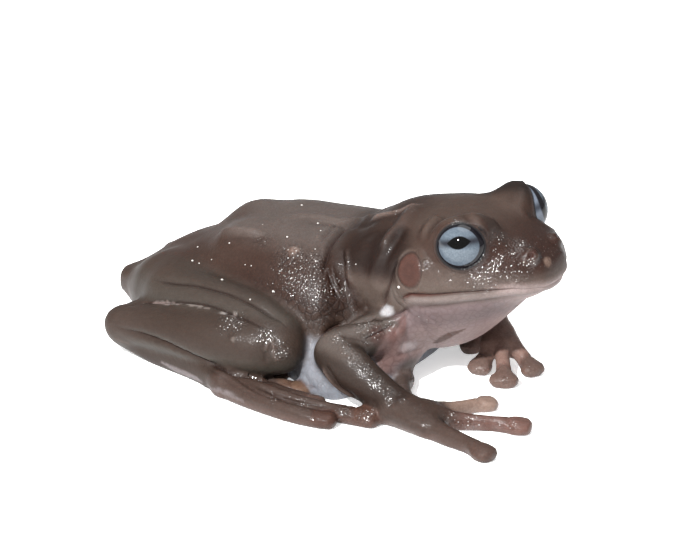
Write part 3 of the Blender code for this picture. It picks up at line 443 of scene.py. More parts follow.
# soft folds of skin that join the throat, the chest and the right arm: middle and reach each way
CHEST_FOLDS = (
    ((50.6, -6.2, 6.6), (3.9, 5.2, 5.0)),
    ((51.6, -7.4, 10.6), (3.4, 4.2, 3.6)),
)
# flesh that fills the crease between thigh and shank: point, half width, height and depth
CREASE_FLESH = (
    ((8.2, -11.0, 5.6), 2.2, 2.2, 2.2),
    ((14.0, -12.6, 7.6), 2.2, 2.2, 2.2),
    ((20.0, -14.4, 9.2), 2.2, 2.1, 2.2),
    ((26.0, -16.0, 9.5), 2.2, 2.1, 2.2),
    ((31.0, -17.4, 9.2), 2.0, 2.0, 2.2),
)
# pale patch between throat and right arm: middle and reach each way
CHEST_PATCH = ((51.9, -10.4, 6.9), (3.8, 4.6, 4.4))
# fingers of another colour: which one, its colour and amount
FINGER_TINTS = (
    (0, (122, 106, 100), 0.7), (1, (192, 164, 150), 0.95), (2, (140, 104, 95), 0.85), (3, (98, 76, 67), 0.5),
)

# tubes: points round the trunk and the head, round a limb and round a small ball, and their rounded ends
BODY_SIDES, LIMB_SIDES, BALL_SIDES = 72, 28, 20
END_RINGS, END_TURN = 6, 6.3

# volume: size of a cell, how many cells of depth it keeps on either side of the skin, and room round the frog
CELL = 0.49
BAND = 9
ROOM, ROOM_ABOVE, ROOM_BELOW = 1.6, 2.0, 1.2
# rounding of the joints between parts: how wide it is, and how much wider near the joint's own middle
NECK_MELT, KNEE_MELT, HEEL_MELT, HIP_MELT = (0.6, 3.4), (0.8, 1.0), (0.3, 1.8), (1.3, 5.0)
# levels between which the neck's rounding grows, and how near and how far it does at knee, heel and hip
NECK_LEVELS, KNEE_REACH, HEEL_REACH, HIP_REACH = (12.0, 18.5), (3.0, 7.0), (2.5, 6.0), (6.0, 14.0)

# finer mesh, in the first and second splitting: reach at the lids' opening, nostrils, eardrums and mouth
FINER_LIDS, FINER_NOSTRILS, FINER_DRUMS, FINER_MOUTH = (1.4, 1.16), (2.2, 1.4), (3.4, 0.0), (0.9, 0.45)
# folds narrower than the first width are split once, and those deeper than the second twice
NARROW_FOLD, DEEP_FOLD = 0.7, 0.45
# share of the way that smoothing moves a point towards its neighbours, and then away from them
SMOOTH_IN, SMOOTH_OUT = 0.55, 0.57

# sizes of the patterns in the materials, in metres
BROAD_MOTTLE, FINE_MOTTLE, RIPPLES = 0.007, 0.0009, 0.0013
IRIS_MOTTLE, GRAIN_MOTTLE, FLOOR_MOTTLE = 0.00025, 0.0003, 1 / 14

# studio: the camera's place is given by its distance from the vent and where the vent shows in the picture
VIEW_TURN, VIEW_TILT = 22.0, 22.0
VIEW_DISTANCE, VIEW_SCALE = 480.0, 6.2
VENT_LEVEL, VENT_IN_VIEW = 7.5, (121.0, 275.0)
PICTURE = (700.0, 560.0)
FROG_MIDDLE = (38.0, 0.0, 12.0)
# floor: half its length in metres, and the strength of its weak glow, which keeps its shadows pale
GROUND_REACH, FLOOR_GLOW = 1.6, 0.5
# lights: name, place from the frog's middle and size, in metres
LIGHTS = (
    ("flash", (-0.025, -0.46, 0.386), 0.025),
    ("fill", (0.05, -0.6, 0.45), 0.6),
    ("overhead", (0.02, 0.10, 0.75), 0.6),
)


def unit(vectors):
    """Vectors scaled to length one along the last axis."""
    vectors = np.asarray(vectors, float)
    return vectors / np.maximum(np.linalg.norm(vectors, axis=-1, keepdims=True), 1e-9)


def axes(turn, tilt=0.0, roll=0.0):
    """Forward, left and up vectors of a frame turned about Z, tilted up and rolled, in degrees."""
    a, b, c = np.radians([turn, tilt, roll])
    forward = np.array([np.cos(b) * np.cos(a), np.cos(b) * np.sin(a), np.sin(b)])
    left = np.array([-np.sin(a), np.cos(a), 0.0])
    up = np.cross(forward, left)
    return np.array([forward, left * np.cos(c) + up * np.sin(c), up * np.cos(c) - left * np.sin(c)])


HEAD_AXES = axes(*HEAD_TURN)


def in_head(forward, left, up):
    """A point of the head's frame as a point of the frog."""
    return np.array(HEAD_ORIGIN) + np.array([forward, left, up], float) @ HEAD_AXES


def to_head(points):
    """Points of the frog in the head's frame."""
    return (points - np.array(HEAD_ORIGIN)) @ HEAD_AXES.T


def in_metres(points):
    """Points of the frog in millimetres as places in the scene."""
    return np.asarray(points, float) * MM + PLACE


def distance(points, place, radii=1.0):
    """Distance from each point to a place, or how many radii away it is."""
    return np.linalg.norm((points - np.array(place)) / radii, axis=1)


def head_side(side, value):
    """A point or direction of the head for one side: 1 is its left, -1 its right."""
    forward, left, up = value
    return forward, side * left, up


def eye_frame(side):
    """Centre of an eye and its three axes: across, up and the way it looks."""
    look = unit(np.array(head_side(side, EYE_LOOK)) @ HEAD_AXES)
    across = unit(np.cross(HEAD_AXES[2], look))
    centre = np.array(EYE_CENTRE) + (np.array(LEFT_EYE_SHIFT) if side > 0 else 0.0)
    return in_head(*head_side(side, centre)), np.array([across, np.cross(look, across), look])


low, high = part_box("eye_right")
PLACE = (np.array(low) + np.array(high)) / 2 - eye_frame(-1)[0] * MM


def smooth(rows, steps):
    """A Catmull-Rom curve through the rows, each a point together with its sizes."""
    rows = np.asarray(rows, float)
    padded = np.vstack([2 * rows[0] - rows[1], rows, 2 * rows[-1] - rows[-2]])
    made = []
    for i in range(1, len(padded) - 2):
        a, b, c, d = padded[i - 1:i + 3]
        for t in np.arange(steps) / steps:
            made.append(0.5 * (2 * b + (c - a) * t + (2 * a - 5 * b + 4 * c - d) * t ** 2
                               + (3 * b - a - 3 * c + d) * t ** 3))
    made.append(padded[-2])
    return np.array(made)


def ramp(values, start, end):
    """A smooth step from 0 at start to 1 at end."""
    t = np.clip((values - start) / (end - start), 0.0, 1.0)
    return t * t * (3 - 2 * t)


def fall(values, start, end):
    """A smooth step from 1 at start to 0 at end."""
    return 1 - ramp(values, start, end)


def bell(values, width):
    """A bell curve of the given half width."""
    return np.exp(-(values / width) ** 2)


def tube(stations, squareness=(2.0, 2.0), ends=(1.0, 1.0), sides=40, steps=6):
    """Points and faces of a closed tube through stations: point, three axes, half width, height and depth."""
    rows = smooth(stations, steps)
    rings = [*rows]
    for end, row, direction in ((ends[0], rows[0], -1), (ends[1], rows[-1], 1)):
        depth = end * min(row[12], 0.5 * (row[13] + row[14]))
        for k in range(1, END_RINGS + 1):
            angle = math.pi / 2 * k / END_TURN
            ring = row.copy()
            ring[:3] += direction * row[3:6] * depth * math.sin(angle)
            ring[12:15] = row[12:15] * math.cos(angle)
            rings.insert(0 if direction < 0 else len(rings), ring)
    rings = np.array(rings)
    angle = 2 * np.pi * np.arange(sides) / sides
    across, rise = np.cos(angle), np.sin(angle)
    power = np.where(rise > 0, squareness[0], squareness[1])
    across = np.sign(across) * np.abs(across) ** (2 / power)
    rise = np.sign(rise) * np.abs(rise) ** (2 / power)
    half = np.where(rise[None] > 0, rings[:, 13:14], rings[:, 14:15])
    points = (rings[:, None, :3] + unit(rings[:, None, 6:9]) * (across[None] * rings[:, 12:13])[..., None]
              + unit(rings[:, None, 9:12]) * (rise[None] * half)[..., None])
    count = len(rings)
    index = np.arange(count * sides).reshape(count, sides)
    turned = np.roll(index, -1, axis=1)
    quads = np.stack([index[:-1], turned[:-1], turned[1:], index[1:]], -1).reshape(-1, 4)
    first, last = count * sides, count * sides + 1
    caps = np.vstack([np.stack([turned[0], index[0], np.full(sides, first)], -1),
                      np.stack([index[-1], turned[-1], np.full(sides, last)], -1)])
    points = np.vstack([points.reshape(-1, 3), rings[0, :3], rings[-1, :3]])
    return points, quads, caps


def limb_stations(rows):
    """Stations for a limb: each ring square to the way the limb runs, its height kept upright."""
    points = np.array([row[0] for row in rows], float)
    sizes = np.array([row[1:] for row in rows], float)
    forward = unit(np.gradient(points, axis=0))
    left = unit(np.cross((0.0, 0.0, 1.0), forward))
    return np.hstack([points, forward, left, np.cross(forward, left), sizes])


def limb(rows, ends=(1.0, 1.0)):
    """A limb or a digit, round in section."""
    return tube(limb_stations(rows), ends=ends, sides=LIMB_SIDES)


def web(first, second, reach):
    """A thin sheet between two digits, from their roots to a share of the shorter one."""
    one, two = (smooth([[*p, *sizes] for p, *sizes in rows], 4)[:, :3] for rows in (first, second))
    count = int(reach * min(len(one), len(two)))
    rows = []
    for a, b in zip(one[:count], two[:count]):
        middle = (a + b) / 2 - (0.0, 0.0, 0.3)
        rows.append((tuple(middle), np.linalg.norm(a - b) / 2 + 0.2, WEB_THICKNESS / 2, WEB_THICKNESS / 2))
    return tube(limb_stations(rows[::2]), (2.6, 2.6), (0.3, 0.3), 20, 3)


def ball(centre, radii, frame_axes=np.eye(3)):
    """A closed ellipsoid."""
    across, up, out = frame_axes
    turn = np.linspace(-0.96, 0.96, 9) * math.pi / 2
    rows = [[*(np.array(centre) + out * radii[2] * math.sin(t)), *out, *across, *up,
             *(np.array([radii[0], radii[1], radii[1]]) * math.cos(t))] for t in turn]
    return tube(rows, ends=(0.05, 0.05), sides=BALL_SIDES, steps=2)


def mirrored(rows, shift=(0.0, 0.0, 0.0)):
    """Rows of the right leg for the left one, across the plane of its heading, with the root shifted."""
    heading = math.radians(LEG_MIRROR_HEADING)
    along = np.array([math.cos(heading), math.sin(heading)])
    across = np.array([-math.sin(heading), math.cos(heading)])
    made = []
    for i, ((x, y, z), width, height, depth) in enumerate(rows):
        flat = np.array([x, y])
        fx, fy = along * (flat @ along) - across * (flat @ across)
        share = 1 - i / (len(rows) - 1)
        made.append((tuple(np.array([fx, fy, z]) + np.array(shift) * share), width, height, depth))
    return tuple(made)


class Volume:
    """A box of cells round the frog, each holding its distance to the skin, negative inside."""

    def __init__(self, low, high):
        self.low = np.asarray(low, float)
        self.shape = tuple(int(n) for n in np.ceil((np.asarray(high) - self.low) / CELL) + 1)
        self.transform = openvdb.createLinearTransform(voxelSize=CELL)

    def cells(self, axis):
        """Coordinates of the cells along one axis, shaped to combine with the others."""
        line = self.low[axis] + CELL * np.arange(self.shape[axis])
        return line.reshape([-1 if k == axis else 1 for k in range(3)]).astype(np.float32)

    def distance(self, shape):
        """Distance of every cell to one closed shape."""
        points, quads, caps = shape
        grid = openvdb.FloatGrid.createLevelSetFromPolygons(
            np.ascontiguousarray(points - self.low, np.float32),
            triangles=np.ascontiguousarray(caps, np.uint32), quads=np.ascontiguousarray(quads, np.uint32),
            transform=self.transform, halfWidth=float(BAND))
        cells = np.zeros(self.shape, np.float32)
        grid.copyToArray(cells)
        return cells

    def joined(self, shapes, melt):
        """Distance to several shapes melted together."""
        field = None
        for shape in shapes:
            near = self.distance(shape)
            field = near if field is None else melted(field, near, melt)
        return field

    def near(self, centre, inner, outer):
        """A mask that is 1 within inner of a point and 0 beyond outer."""
        gap = sum((self.cells(k) - centre[k]) ** 2 for k in range(3)) ** 0.5
        return fall(gap, inner, outer)

    def sampled(self, cells, points):
        """The value of the nearest cell for each point."""
        index = np.clip(np.rint((points - self.low) / CELL).astype(int), 0, np.array(self.shape) - 1)
        return cells[index[:, 0], index[:, 1], index[:, 2]]

    def surface(self, field):
        """Points and quads of the skin."""
        grid = openvdb.FloatGrid(float(BAND * CELL))
        grid.copyFromArray(np.ascontiguousarray(field, np.float32))
        grid.transform = self.transform
        points, quads = grid.convertToQuads(0.0)
        return points.astype(float) + self.low, quads.astype(int)


def melted(a, b, melt):
    """The union of two fields, its joint rounded over the given distance."""
    h = np.clip(1 - np.abs(a - b) / np.maximum(melt, 1e-3), 0, 1)
    return np.minimum(a, b) - h * h * melt / 4


def trunk_shape():
    """The trunk with its swellings."""
    stations = [[x, y, level, *axes(heading, pitch).ravel(), width, height, depth]
                for x, y, level, heading, pitch, width, height, depth in TRUNK]
    points, quads, caps = tube(stations, TRUNK_SQUARENESS, (0.4, 0.3), BODY_SIDES)
    for centre, reach, push in SWELLINGS:
        share = np.maximum(1 - (distance(points, centre) / reach) ** 2, 0)
        points += np.array(push) * share[:, None] ** 2
    return points, quads, caps


def head_shapes():
    """The bare head, and the lids and nostril mounds on it."""
    stations = []
    for forward, width, crown, throat in HEAD:
        place = in_head(forward, 0.0, LIP_LEVEL)
        stations.append([*place, *HEAD_AXES.ravel(), width, crown - LIP_LEVEL, LIP_LEVEL - throat])
    bare = tube(stations, HEAD_SQUARENESS, (0.3, 0.42), BODY_SIDES)
    lids, mounds = [], []
    for side in (-1, 1):
        centre, (across, up, look) = eye_frame(side)
        rings = [[*(centre + look * out), *look, *across, *up, width, height, depth]
                 for out, width, height, depth in LID_DOME]
        lids.append(tube(rings, ends=(0.3, 0.04), steps=4))
        mounds.append(ball(in_head(*head_side(side, NOSTRIL_CENTRE)), (NOSTRIL_MOUNDS[side],) * 3))
    return bare, lids, mounds


def arm_shapes():
    """The closed shapes of each arm, by side: upper arm, forearm, palm, fingers and their webs."""
    made = {}
    for side, upper, fore, palm, fingers in (("right", UPPER_ARM, FOREARM, PALM, FINGERS),
                                             ("left", UPPER_ARM_LEFT, FOREARM_LEFT, PALM_LEFT, FINGERS_LEFT)):
        hand = [limb(palm, (0.8, 0.5))] + [limb(rows, (0.8, 0.9)) for rows in fingers]
        webs = [web(a, b, FINGER_WEB_REACH) for a, b in zip(fingers[1:], fingers[2:])]
        made[side] = (limb(upper), limb(fore, (1.0, 0.6)), hand, webs)
    return made


def leg_rows(side):
    """The rings of one leg: thigh, shank, tarsus, the flesh in its crease, and the toes."""
    if side == "right":
        return THIGH, SHANK, TARSUS, CREASE_FLESH, TOES
    return (mirrored(THIGH, LEFT_HIP_SHIFT), mirrored(SHANK), mirrored(TARSUS), mirrored(CREASE_FLESH),
            [mirrored(rows) for rows in TOES])


def leg_shapes():
    """The closed shapes of each leg, by side: thigh, shank, tarsus, toes and their webs."""
    made = {}
    for side in ("right", "left"):
        thigh, shank, tarsus, _, toes = leg_rows(side)
        webs = [web(a, b, TOE_WEB_REACH) for a, b in zip(toes, toes[1:])]
        digits = [limb(rows, (0.8, 0.9)) for rows in toes]
        made[side] = (limb(thigh), limb(shank), limb(tarsus, (1.0, 0.3)), digits, webs)
    return made


class Skin:
    """The skin's points and faces while it is shaped and painted."""

    def __init__(self, points, faces):
        self.points, self.faces = points, faces
        self.link()

    def link(self):
        """Finds which points are neighbours."""
        ring = np.roll(self.faces, -1, axis=1)
        pairs = np.sort(np.stack([self.faces.ravel(), ring.ravel()], 1), axis=1)
        self.pairs = np.unique(pairs, axis=0)
        self.count = np.maximum(np.bincount(self.pairs.ravel(), minlength=len(self.points)), 1)

    def averaged(self, values):
        """Each point's mean over its neighbours."""
        a, b = self.pairs.T
        flat = values.reshape(len(values), -1)
        made = np.empty_like(flat, dtype=float)
        for k in range(flat.shape[1]):
            total = np.bincount(a, flat[b, k], len(flat)) + np.bincount(b, flat[a, k], len(flat))
            made[:, k] = total / self.count
        return made.reshape(values.shape)

    def relaxed(self, rounds, share=1.0):
        """Smooths the points without shrinking them."""
        weight = np.reshape(share, (-1, 1)) if np.ndim(share) else share
        for _ in range(rounds):
            self.points = self.points + SMOOTH_IN * weight * (self.averaged(self.points) - self.points)
            self.points = self.points - SMOOTH_OUT * weight * (self.averaged(self.points) - self.points)

    def normals(self):
        """Unit normals of the points."""
        corner = self.points[self.faces]
        facing = np.cross(corner[:, 2] - corner[:, 0], corner[:, -1] - corner[:, 1])
        total = np.zeros_like(self.points)
        for k in range(self.faces.shape[1]):
            for axis in range(3):
                total[:, axis] += np.bincount(self.faces[:, k], facing[:, axis], len(self.points))
        return unit(total)

    def refined(self, wanted):
        """Splits the edges between wanted points and leaves triangles."""
        mesh = bpy.data.meshes.new("refine")
        mesh.from_pydata(self.points.tolist(), [], self.faces.tolist())
        bm = bmesh.new()
        bm.from_mesh(mesh)
        bm.verts.ensure_lookup_table()
        chosen = [e for e in bm.edges if wanted[e.verts[0].index] and wanted[e.verts[1].index]]
        bmesh.ops.subdivide_edges(bm, edges=chosen, cuts=1, use_grid_fill=True)
        bmesh.ops.triangulate(bm, faces=bm.faces)
        bm.to_mesh(mesh)
        bm.free()
        points = np.empty(len(mesh.vertices) * 3)
        mesh.vertices.foreach_get("co", points)
        corners = np.empty(len(mesh.polygons) * 3, np.int64)
        mesh.polygons.foreach_get("vertices", corners)
        bpy.data.meshes.remove(mesh)
        self.points, self.faces = points.reshape(-1, 3), corners.reshape(-1, 3)
        self.link()


def along(points, path, reach):
    """Distance from each point to a fine path, and how far along it, from 0 to 1."""
    gap = np.full(len(points), 1e9)
    share = np.zeros(len(points))
    near = np.flatnonzero(((points > path.min(0) - reach) & (points < path.max(0) + reach)).all(1))
    ends = np.concatenate([[0], np.cumsum(np.linalg.norm(np.diff(path, axis=0), axis=1))])
    for i, (a, b) in enumerate(zip(path, path[1:])):
        t = np.clip((points[near] - a) @ (b - a) / max((b - a) @ (b - a), 1e-9), 0, 1)
        far = np.linalg.norm(points[near] - (a + t[:, None] * (b - a)), axis=1)
        closer = far < gap[near]
        gap[near[closer]] = far[closer]
        share[near[closer]] = (ends[i] + t[closer] * (ends[i + 1] - ends[i])) / ends[-1]
    return gap, share


def build_field():
    """The frog's volume, with a label in each cell for the part of the body nearest to it."""
    trunk, (bare, lids, mounds), arms, legs = trunk_shape(), head_shapes(), arm_shapes(), leg_shapes()
    loose = [trunk, bare]
    for upper, fore, hand, webs in arms.values():
        loose += [upper, fore, *hand, *webs]
    for thigh, shank, tarsus, toes, webs in legs.values():
        loose += [thigh, shank, tarsus, *toes, *webs]
    everything = np.vstack([shape[0] for shape in loose])
    low, high = everything.min(0) - ROOM, everything.max(0) + ROOM
    low[2], high[2] = -ROOM_BELOW, high[2] + ROOM_ABOVE
    volume = Volume(low, high)
    height = volume.cells(2)

    def near(place, melt, reach):
        """A joint's rounding, wider near the joint's middle."""
        return melt[0] + melt[1] * volume.near(place, *reach)

    field = volume.distance(trunk)
    parts = [("trunk", field)]
    head = melted(volume.distance(bare), volume.joined(lids, 0.1), 2.2)
    head = melted(head, volume.joined(mounds, 0.1), 1.4)
    parts.append(("head", head))
    field = melted(field, head, NECK_MELT[0] + NECK_MELT[1] * ramp(height, *NECK_LEVELS))
    for side, (upper, fore, hand, webs) in arms.items():
        palm = melted(volume.joined(hand, 0.9), volume.joined(webs, 0.3), 0.8)
        arm = melted(volume.distance(upper), volume.distance(fore), 1.0)
        parts += [("arm_" + side, arm), ("hand_" + side, palm)]
        field = melted(field, melted(arm, palm, 1.4), 1.0)
    field = melted(field, volume.joined([ball(*fold) for fold in CHEST_FOLDS], 1.0), 2.0)
    for side, (thigh, shank, tarsus, toes, webs) in legs.items():
        thigh, shank, tarsus = (volume.distance(shape) for shape in (thigh, shank, tarsus))
        foot = melted(volume.joined(toes, 0.5), volume.joined(webs, 0.3), 0.7)
        parts += [("thigh_" + side, thigh), ("shank_" + side, shank), ("tarsus_" + side, tarsus),
                  ("foot_" + side, foot)]
        thigh_rows, shank_rows, _, flesh, _ = leg_rows(side)
        leg = melted(thigh, shank, near(shank_rows[0][0], KNEE_MELT, KNEE_REACH))
        leg = melted(leg, volume.distance(limb(flesh)), 1.2)
        leg = melted(leg, melted(tarsus, foot, 1.6), near(shank_rows[-1][0], HEEL_MELT, HEEL_REACH))
        field = melted(field, leg, near(thigh_rows[0][0], HIP_MELT, HIP_REACH))
    label, best = np.zeros(volume.shape, np.int8), parts[0][1].copy()
    for k, (_, cells) in enumerate(parts[1:], 1):
        closer = cells < best
        label[closer] = k
        best[closer] = cells[closer]
    field = np.maximum(field, -height)
    return volume, field, label, [name for name, _ in parts]


def twin(points):
    """A path of the right side carried over to the left: across the head, or across the trunk."""
    made = []
    for point in np.asarray(points, float):
        if point[0] > HEAD_BEGINS:
            made.append(in_head(*(to_head(point) * (1, -1, 1))))
        else:
            made.append(point * (1, -1, 1) + (0, TRUNK_MIRROR_SHIFT, 0))
    return np.array(made)


def eye_local(points, side):
    """Points in an eye's frame: forward, up and out, from its centre."""
    centre, frame_axes = eye_frame(side)
    return (points - centre) @ frame_axes.T * (-side, 1, 1)


def lid_opening(local, side):
    """Distance round the eye from the middle of the lids' opening, 1 at its rim."""
    width, height, forward, up = LID_OPENINGS[side]
    across = np.degrees(np.arctan2(local[:, 0], local[:, 2]))
    rise = np.degrees(np.arctan2(local[:, 1], np.hypot(local[:, 0], local[:, 2])))
    return np.hypot((across - forward) / width, (rise - up) / height)


def around_eye(points, side):
    """Points in an eye's frame, their distance from its centre, and from the middle of the lids' opening."""
    local = eye_local(points, side)
    return local, np.linalg.norm(local, axis=1), lid_opening(local, side)


def brow_reach(local):
    """Distance from the middle of the brow to points in an eye's frame, about 1 at its ridge."""
    return np.hypot((local[:, 0] + BROW_BACK) / BROW_RADII[0], local[:, 1] / BROW_RADII[1])


def around_nostril(points, side):
    """Points from a nostril along the head's axes, and their distance from its hole, seen from the side."""
    local = (points - in_head(*head_side(side, NOSTRIL_CENTRE))) @ HEAD_AXES.T
    ahead, up = NOSTRIL_HOLE
    return local, np.hypot(local[:, 0] - ahead, (local[:, 2] - up) * 0.72)


def mouth_offset(points):
    """Height above the mouth line, and how far forward and out, in the head's frame."""
    forward, left, up = to_head(points).T
    line = np.array(MOUTH_LINE)
    return up - np.interp(forward, line[:, 0], line[:, 1]), forward, left


def wanted_finer(skin, level, lines):
    """Which points lie where the head, digits and narrow folds need a finer mesh."""
    points = skin.points
    chosen = np.zeros(len(points), bool)
    for height, width, _, line in lines:
        if width < NARROW_FOLD and (level == 0 or -height > DEEP_FOLD):
            chosen |= along(points, line, 1.2)[0] < (width + 0.2 if level == 0 else 0.3)
    for side in (-1, 1):
        _, far, opening = around_eye(points, side)
        chosen |= (far < EYE_RADIUS + 1.6) & (opening > 0.72) & (opening < FINER_LIDS[level])
        for place, reach in ((NOSTRIL_CENTRE, FINER_NOSTRILS), (EARDRUM_CENTRE, FINER_DRUMS)):
            chosen |= distance(points, in_head(*head_side(side, place))) < reach[level]
    above, forward, _ = mouth_offset(points)
    chosen |= (np.abs(above) < FINER_MOUTH[level]) & (forward > 2.2)
    if level == 0:
        for _, centre, radius, _ in PADS:
            chosen |= distance(points, centre) < radius + 0.5
    return chosen


def open_lids(skin):
    """Presses the skin on to each eyeball, opens it in front of the pupil and rounds the lids' rim."""
    for side in (-1, 1):
        centre, _ = eye_frame(side)
        local, far, opening = around_eye(skin.points, side)
        near = (far < EYE_RADIUS + 2.4) & (opening < 1.6) & (local[:, 2] > -3.0)
        thick = LID_THICKNESS + LID_THICKER_ABOVE * ramp(local[:, 1], 0.5, 3.0)
        lid = EYE_RADIUS + thick * ramp(opening, 0.99, 1.1) - OPENING_DEPTH * fall(opening, 0.93, 1.03)
        pressed = np.minimum(lid, np.maximum(far, EYE_RADIUS + BALL_ROOM))
        target = far + (pressed - far) * fall(opening, 1.1, 1.55)
        target = np.where(opening < 1.1, lid, np.maximum(target, EYE_RADIUS + BALL_ROOM))
        scale = np.where(near, target / np.maximum(far, 1e-6), 1.0)
        skin.points = centre + (skin.points - centre) * scale[:, None]


def fold_offsets(skin, lines):
    """How far the folds raise each point of the skin, and their painted shade on it, below zero where it is
    painted sheen.
    """
    offset, shade = np.zeros(len(skin.points)), np.zeros(len(skin.points))
    for height, width, darker, line in lines:
        gap, share = along(skin.points, line, width * 3)
        fade = np.minimum(ramp(share, 0.0, 0.2), ramp(1 - share, 0.0, 0.2))
        offset += height * fade * (bell(gap, width) if height > 0 or width > 0.7 else np.exp(-gap / width))
        shade += darker * fade * bell(gap, width * (0.55 if height < 0 else 1.0))
    return offset, shade


def fold_lines(tree):
    """Every fold as a fine line laid on the skin, with its height, half width and painted shade."""
    for height, width, darker, paired, path in FOLDS:
        for points in (path, twin(path)) if paired else (path,):
            laid = [tree.find_nearest(Vector(point))[0] for point in smooth(points, 5)]
            yield height, width, darker, np.array(laid)


def noise_at(points, size, seed=0.0):
    """Smooth random values from -1 to 1 that change over the given size."""
    return np.array([noise.noise(Vector(p)) for p in (points / size + seed).tolist()])


def feature_offsets(skin):
    """How far the mouth, nostrils, eardrums, brows, warts and pads raise each point of the skin."""
    points = skin.points
    above, forward, _ = mouth_offset(points)
    inside = ramp(forward, 2.4, 4.6)
    offset = -MOUTH_DEPTH * inside * bell(above - 0.05, 0.2) * (1 - 0.75 * ramp(forward, 17.0, 20.5))
    offset += inside * (UPPER_LIP * bell(above - 0.75, 0.5) + LOWER_LIP * bell(above + 0.8, 0.6)
                        - 0.08 * bell(above + 2.0, 0.7))
    for side in (-1, 1):
        local, far, opening = around_eye(points, side)
        near = (local[:, 2] > -3.5) & (far < EYE_RADIUS + 4.0) & (opening > 1.05)
        brow = brow_reach(local)
        top = ramp(local[:, 1], 0.0, 2.4) * (1.0 if side < 0 else 0.1)
        offset += near * top * (BROW_RISE * bell(brow - 1.08, 0.13) - 0.3 * bell(brow - 0.88, 0.08))
        nostril, gap = around_nostril(points, side)
        outward = side * nostril[:, 1] + 0.4 * nostril[:, 2]
        close = (outward > -0.2) & (np.linalg.norm(nostril, axis=1) < 2.4)
        offset += close * (NOSTRIL_RIM * bell(gap - 0.78, 0.3) - NOSTRIL_DEPTH * bell(gap, 0.34))
        drum, reach = drum_reach(points, side)
        offset += drum * (-DRUM_GROOVE * bell(reach - 1.02, 0.09) + DRUM_RIM * bell(reach - 1.2, 0.1)
                          * ramp(forward - EARDRUM_CENTRE[0], -0.8, 1.2)
                          - DRUM_HOLLOW * fall(reach, 0.2, 0.95))
    for *place, rise in WARTS:
        offset += rise * bell(distance(points, place), 0.7)
    for _, centre, radius, _ in PADS:
        flat = points - centre
        gap = np.linalg.norm(flat * (1, 1, 0.8), axis=1)
        offset += -PAD_GROOVE * bell(gap - radius * 0.98, 0.22) * (flat[:, 2] > 0.2)
    return offset


def drum_reach(points, side):
    """A mask of the skin near one eardrum, and the distance from its middle, 1 at its edge."""
    local = to_head(points) - np.array(head_side(side, EARDRUM_CENTRE))
    reach = np.hypot(local[:, 0] / EARDRUM_RADII[0], local[:, 2] / EARDRUM_RADII[1])
    return (np.abs(local[:, 1]) < 2.4) & (reach < 2.0), reach


def build_skin():
    """The shaped skin in the frog's millimetres, each part's smoothed share of it, and its folds' painted
    shade.
    """
    volume, field, label, names = build_field()
    skin = Skin(*volume.surface(field))
    skin.relaxed(3)
    tree = BVHTree.FromPolygons(skin.points.tolist(), skin.faces.tolist())
    lines = list(fold_lines(tree))
    for level in (0, 1):
        skin.refined(wanted_finer(skin, level, lines))
        skin.relaxed(1, wanted_finer(skin, level, lines).astype(float))
    open_lids(skin)
    offset, shade = fold_offsets(skin, lines)
    offset += feature_offsets(skin)
    belly = ramp(skin.points[:, 2], 0.4, 1.6)
    offset += belly * sum(height * noise_at(skin.points, size, seed) for height, size, seed in UNEVENNESS)
    covered = np.zeros(len(skin.points))
    for side in (-1, 1):
        _, far, opening = around_eye(skin.points, side)
        covered = np.maximum(covered, (far < EYE_RADIUS + 1) * (opening < 1.08))
    skin.points = skin.points + skin.normals() * (offset * (1 - covered))[:, None]
    skin.points[:, 2] = np.maximum(skin.points[:, 2], 0.0)
    kind = volume.sampled(label, skin.points)
    share = {}
    for k, name in enumerate(names):
        weight = (kind == k).astype(float)
        for _ in range(5):
            weight = skin.averaged(weight)
        share[name] = weight
    return skin, share, shade


def tone(*colour):
    """A colour given as 0 to 255 on screen, as linear light."""
    c = np.array(colour) / 255.0
    return np.where(c <= 0.04045, c / 12.92, ((c + 0.055) / 1.055) ** 2.4)


